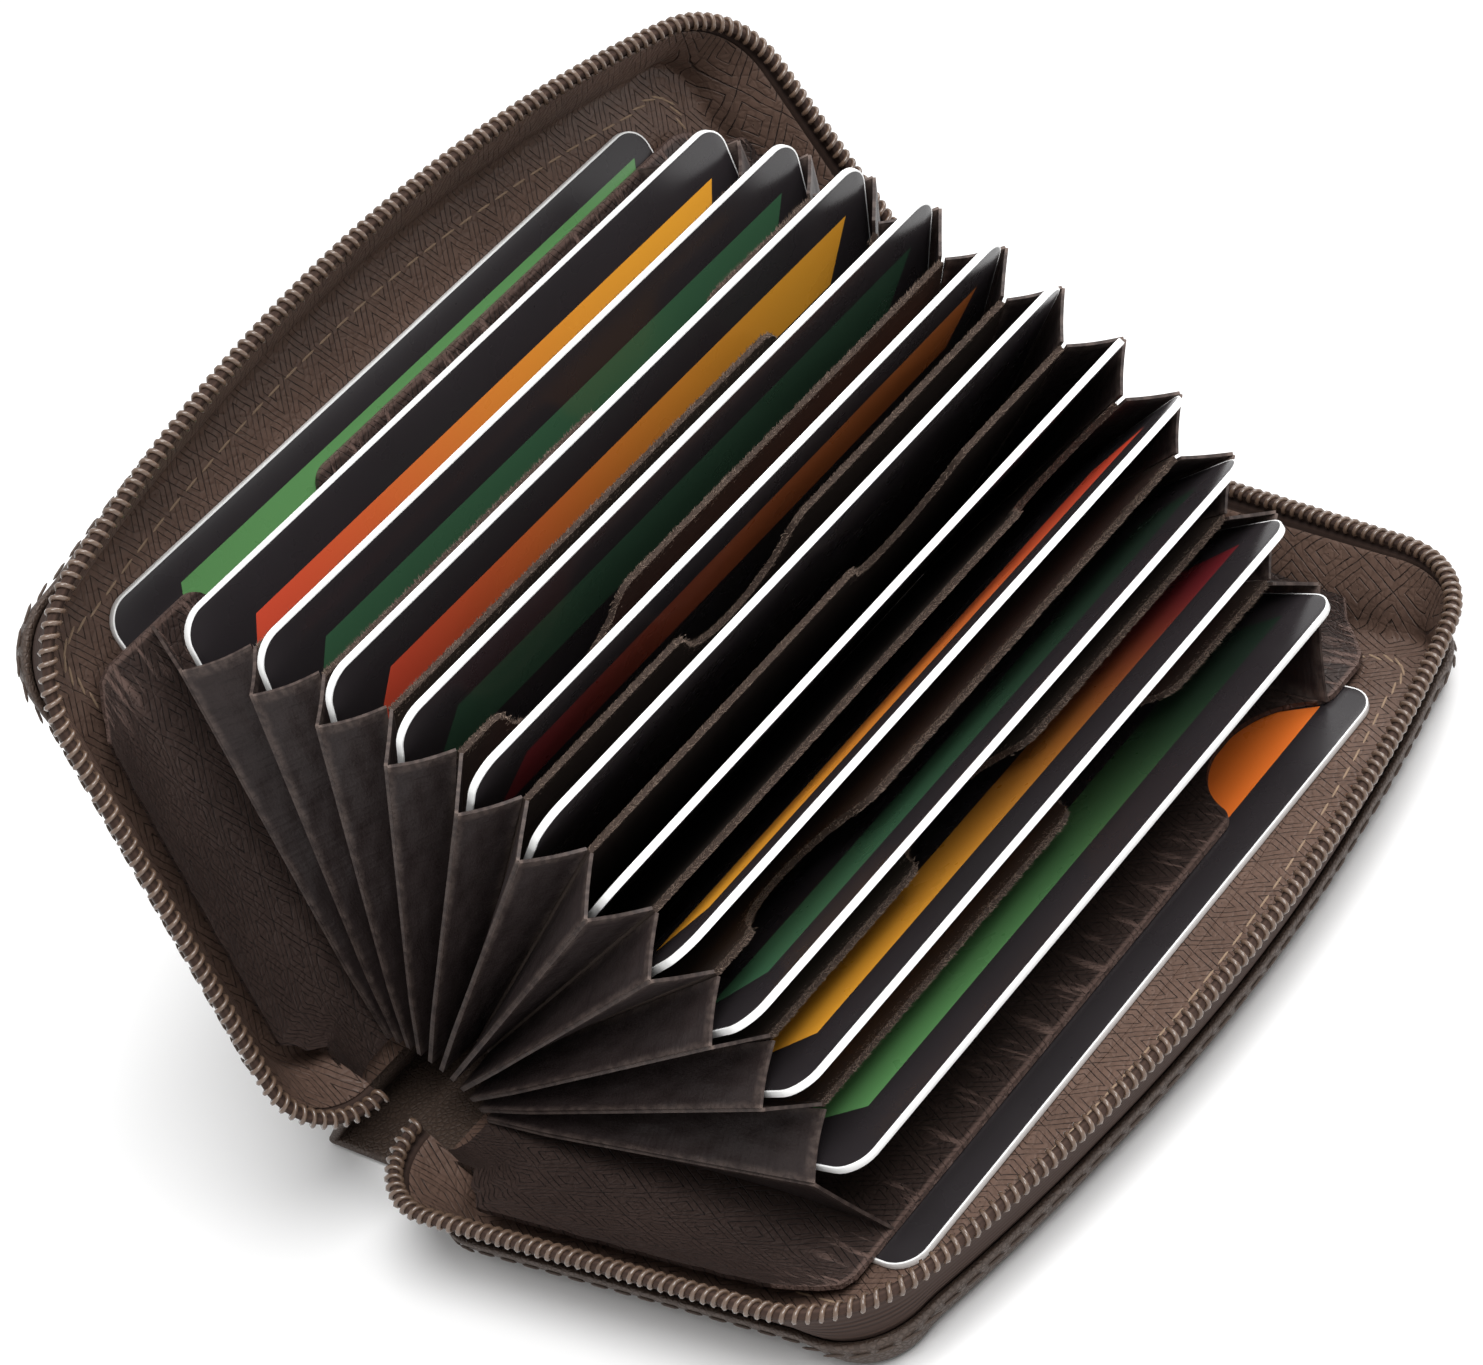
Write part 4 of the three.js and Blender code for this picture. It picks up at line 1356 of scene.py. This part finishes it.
for side, _ in covers:
    end = coverPlace[side].inverted() @ crease
    run = math.hypot(end.y, end.z - middle)
    turn = math.atan2(end.z - middle, end.y)
    strip = leatherSheet(f"spineLeather{side.upper()}", spine["half"], -(run + middle),
                         spine["lap"], spine["thick"], spine["cuts"])
    roundEdges(strip, spine["round"], spine["roundSteps"])
    keepFlat(strip)
    for v in strip.data.vertices:
        share = eased(within((v.co.y + spine["bend"]) / (2 * spine["bend"])))
        y, z = v.co.y, v.co.z
        v.co.y = y * math.cos(turn * share) - z * math.sin(turn * share)
        v.co.z = y * math.sin(turn * share) + z * math.cos(turn * share) + middle
    smooth(strip, 50)
    strip.data.transform(coverPlace[side])
    strip.data.materials.append(finishes["leather"])
    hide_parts(f"spine_{side}")
    start = coverPlace[side] @ Vector((0, -spine["bend"], middle))
    across = Vector((0, math.cos(turn), math.sin(turn))) * spine["bend"]
    stop = coverPlace[side] @ (Vector((0, 0, middle)) + across)
    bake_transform(strip)
print("spine made")


# Slider and puller: the cast pieces with their edges rounded
cast = {
    "merge": 0.005 * mm,
    "flat": math.radians(2),
    "sharp": 35,
    "steps": 3,
    "sliderEdge": 0.22 * mm,
    "pullerEdge": 0.20 * mm,
}


def castPiece(name, node, body, width):
    piece = copyOf(frame["nodes"][node], name)
    work = bmesh.new()
    work.from_mesh(piece.data)
    bmesh.ops.remove_doubles(work, verts=work.verts, dist=cast["merge"])
    bmesh.ops.dissolve_limit(work, angle_limit=cast["flat"], verts=work.verts, edges=work.edges)
    work.to_mesh(piece.data)
    work.free()
    roundEdges(piece, width, cast["steps"], cast["sharp"])
    smooth(piece)
    settle(piece, Matrix.Identity(4), body, finishes["metal"], [node])


castPiece("zipSlider", "slider", "zip_slider", cast["sliderEdge"])
castPiece("zipPuller", "puller", "zip_puller", cast["pullerEdge"])


# Sewn tail at the zip's far end, the closed coil running down its middle
tail = {
    "start": 45.2 * mm,
    "foot": 4.4 * mm,
    "bend": 4.0 * mm,
    "bendSteps": 12,
    "top": 13.2 * mm,
    "half": 3.0 * mm,
    "thick": 0.5 * mm,
    "step": 0.5 * mm,
    "acrossSteps": 12,
    "hump": 0.25 * mm,
    "coilWide": 1.35 * mm,
    "coilHigh": 0.55 * mm,
    "coilPitch": 0.75 * mm,
    "coilWire": 0.26 * mm,
}


def tailLine():
    # spots along the tail with the direction away from the pocket, in the pocket's own plane
    straight = rim["half"] - tail["bend"]
    bend = arc((straight, tail["foot"] + tail["bend"]), tail["bend"], -math.pi / 2, 0,
               tail["bendSteps"])
    marks = [Vector((tail["start"], tail["foot"])), *bend, Vector((rim["half"], tail["top"]))]
    return [(p.x, p.y, way.y, -way.x, run) for p, run, way in evenSpots(marks, tail["step"])]


upper, lower = [], []
for i in range(tail["acrossSteps"] + 1):
    z = tail["half"] * (2 * i / tail["acrossSteps"] - 1)
    over = tail["hump"] * (max(math.cos(z / tail["coilWide"] * math.pi / 4), 0) - 1)
    upper.append((z, over + tail["thick"] / 2))
    lower.append((z, over - tail["thick"] / 2))
form = upper + lower[::-1]
line = tailLine()
points = [Vector((x + nx * out, -(r + nr * out), z)) for x, r, nx, nr, _ in line for z, out in form]
piece = closedPiece("zipTailTape", points, ringFaces(0, len(line), len(form)))
setFlat(piece, [Vector((spot[-1], z, 0)) for spot in line for z, _ in form])
smooth(piece, 50)
middleCard = (leaf["cards"] + 1) // 2
settle(piece, cardPlace[middleCard], "pocket_06", finishes["tape"], ["zip_tail"])

frames = [(run, Vector((x, -r, 0)), Vector((0, 0, 1)), Vector((nx, -nr, 0)))
          for x, r, nx, nr, run in line]
piece = windWire("zipTailCoil", frames, tail["coilPitch"], tail["coilWide"], tail["coilHigh"],
                 tail["coilWire"])
smooth(piece, 80)
settle(piece, cardPlace[middleCard], "pocket_06", finishes["coil"])
print("slider and tail made")


# Camera where the photograph was taken, a pale floor and plain soft light
camera = {
    "spot": (-202.3 * mm, -244.1 * mm, 268.9 * mm),
    "turn": (52.0995, 18.4104, -51.128),
    "lens": 97.17,
    "sensor": 36.0,
    "near": 0.01,
    "far": 10,
}
eye = bpy.data.cameras.new("camera")
eye.lens, eye.sensor_width = camera["lens"], camera["sensor"]
eye.clip_start, eye.clip_end = camera["near"], camera["far"]
viewer = newObject("camera", eye)
viewer.location = camera["spot"]
viewer.rotation_euler = [math.radians(a) for a in camera["turn"]]
bpy.context.scene.camera = viewer

lighting = {
    "world": 0.55,
    "floorSize": 6.0,
    "floorDrop": 0.05 * mm,
    "floor": (0.86, 0.86, 0.86, 1),
    "white": (1, 1, 1, 1),
    "fadeFrom": 0.16,  # the floor turns into the white backdrop between these distances
    "fadeTo": 0.42,
    "aim": (0, 0, 0.03),
    "lamps": [  # spot, size, power in watts
        ((-0.12, -0.30, 0.75), 0.5, 6.5),
        ((0.55, -0.10, 0.60), 0.5, 4.0),
    ],
}
for i, (spot, size, power) in enumerate(lighting["lamps"]):
    lamp = bpy.data.lights.new(f"lamp{i}", "AREA")
    lamp.energy, lamp.size = power, size
    holder = newObject(f"lamp{i}", lamp)
    holder.location = spot
    way = Vector(lighting["aim"]) - Vector(spot)
    holder.rotation_euler = way.to_track_quat("-Z", "Y").to_euler()

world = bpy.data.worlds.new("world")
bpy.context.scene.world = world
world.use_nodes = True
tree = world.node_tree
ambient = tree.nodes["Background"]
ambient.inputs["Color"].default_value = lighting["white"]
ambient.inputs["Strength"].default_value = lighting["world"]
backdrop = tree.nodes.new("ShaderNodeBackground")  # what the camera and clear or shiny pieces see
backdrop.inputs["Color"].default_value = lighting["white"]
backdrop.inputs["Strength"].default_value = 1.0
ray = tree.nodes.new("ShaderNodeLightPath")
seen = ray.outputs["Is Camera Ray"]
for name in ("Is Glossy Ray", "Is Transmission Ray"):
    either = tree.nodes.new("ShaderNodeMath")
    either.operation = "MAXIMUM"
    tree.links.new(seen, either.inputs[0])
    tree.links.new(ray.outputs[name], either.inputs[1])
    seen = either.outputs[0]
choose = tree.nodes.new("ShaderNodeMixShader")
tree.links.new(seen, choose.inputs[0])
tree.links.new(ambient.outputs[0], choose.inputs[1])
tree.links.new(backdrop.outputs[0], choose.inputs[2])
tree.links.new(choose.outputs[0], tree.nodes["World Output"].inputs["Surface"])

drop = (0, 0, -lighting["floorDrop"])
bpy.ops.mesh.primitive_plane_add(size=lighting["floorSize"], location=drop)
ground = bpy.context.object
ground.name = "ground"
paper = Finish("paper", roughness=0.9)
paper.colour(lighting["floor"])
away = paper.add("VectorMath", {"operation": "LENGTH"}, {0: paper.spot()}).output("Value")
rays = paper.add("LightPath", {}, {})
fade = away.step(lighting["fadeFrom"], lighting["fadeTo"]) * rays.output("Is Camera Ray")
glow = paper.add("Emission", {}, {"Color": lighting["white"], "Strength": 1.0})
blendIn = paper.add("MixShader", {}, {0: fade, 2: glow})
paper.tree.links.new(paper.shader.outputs[0], blendIn.node.inputs[1])
paper.tree.links.new(blendIn.socket, paper.tree.nodes["Material Output"].inputs["Surface"])
ground.data.materials.append(paper.material)

bpy.context.scene.view_settings.view_transform = "Standard"
print("scene made")
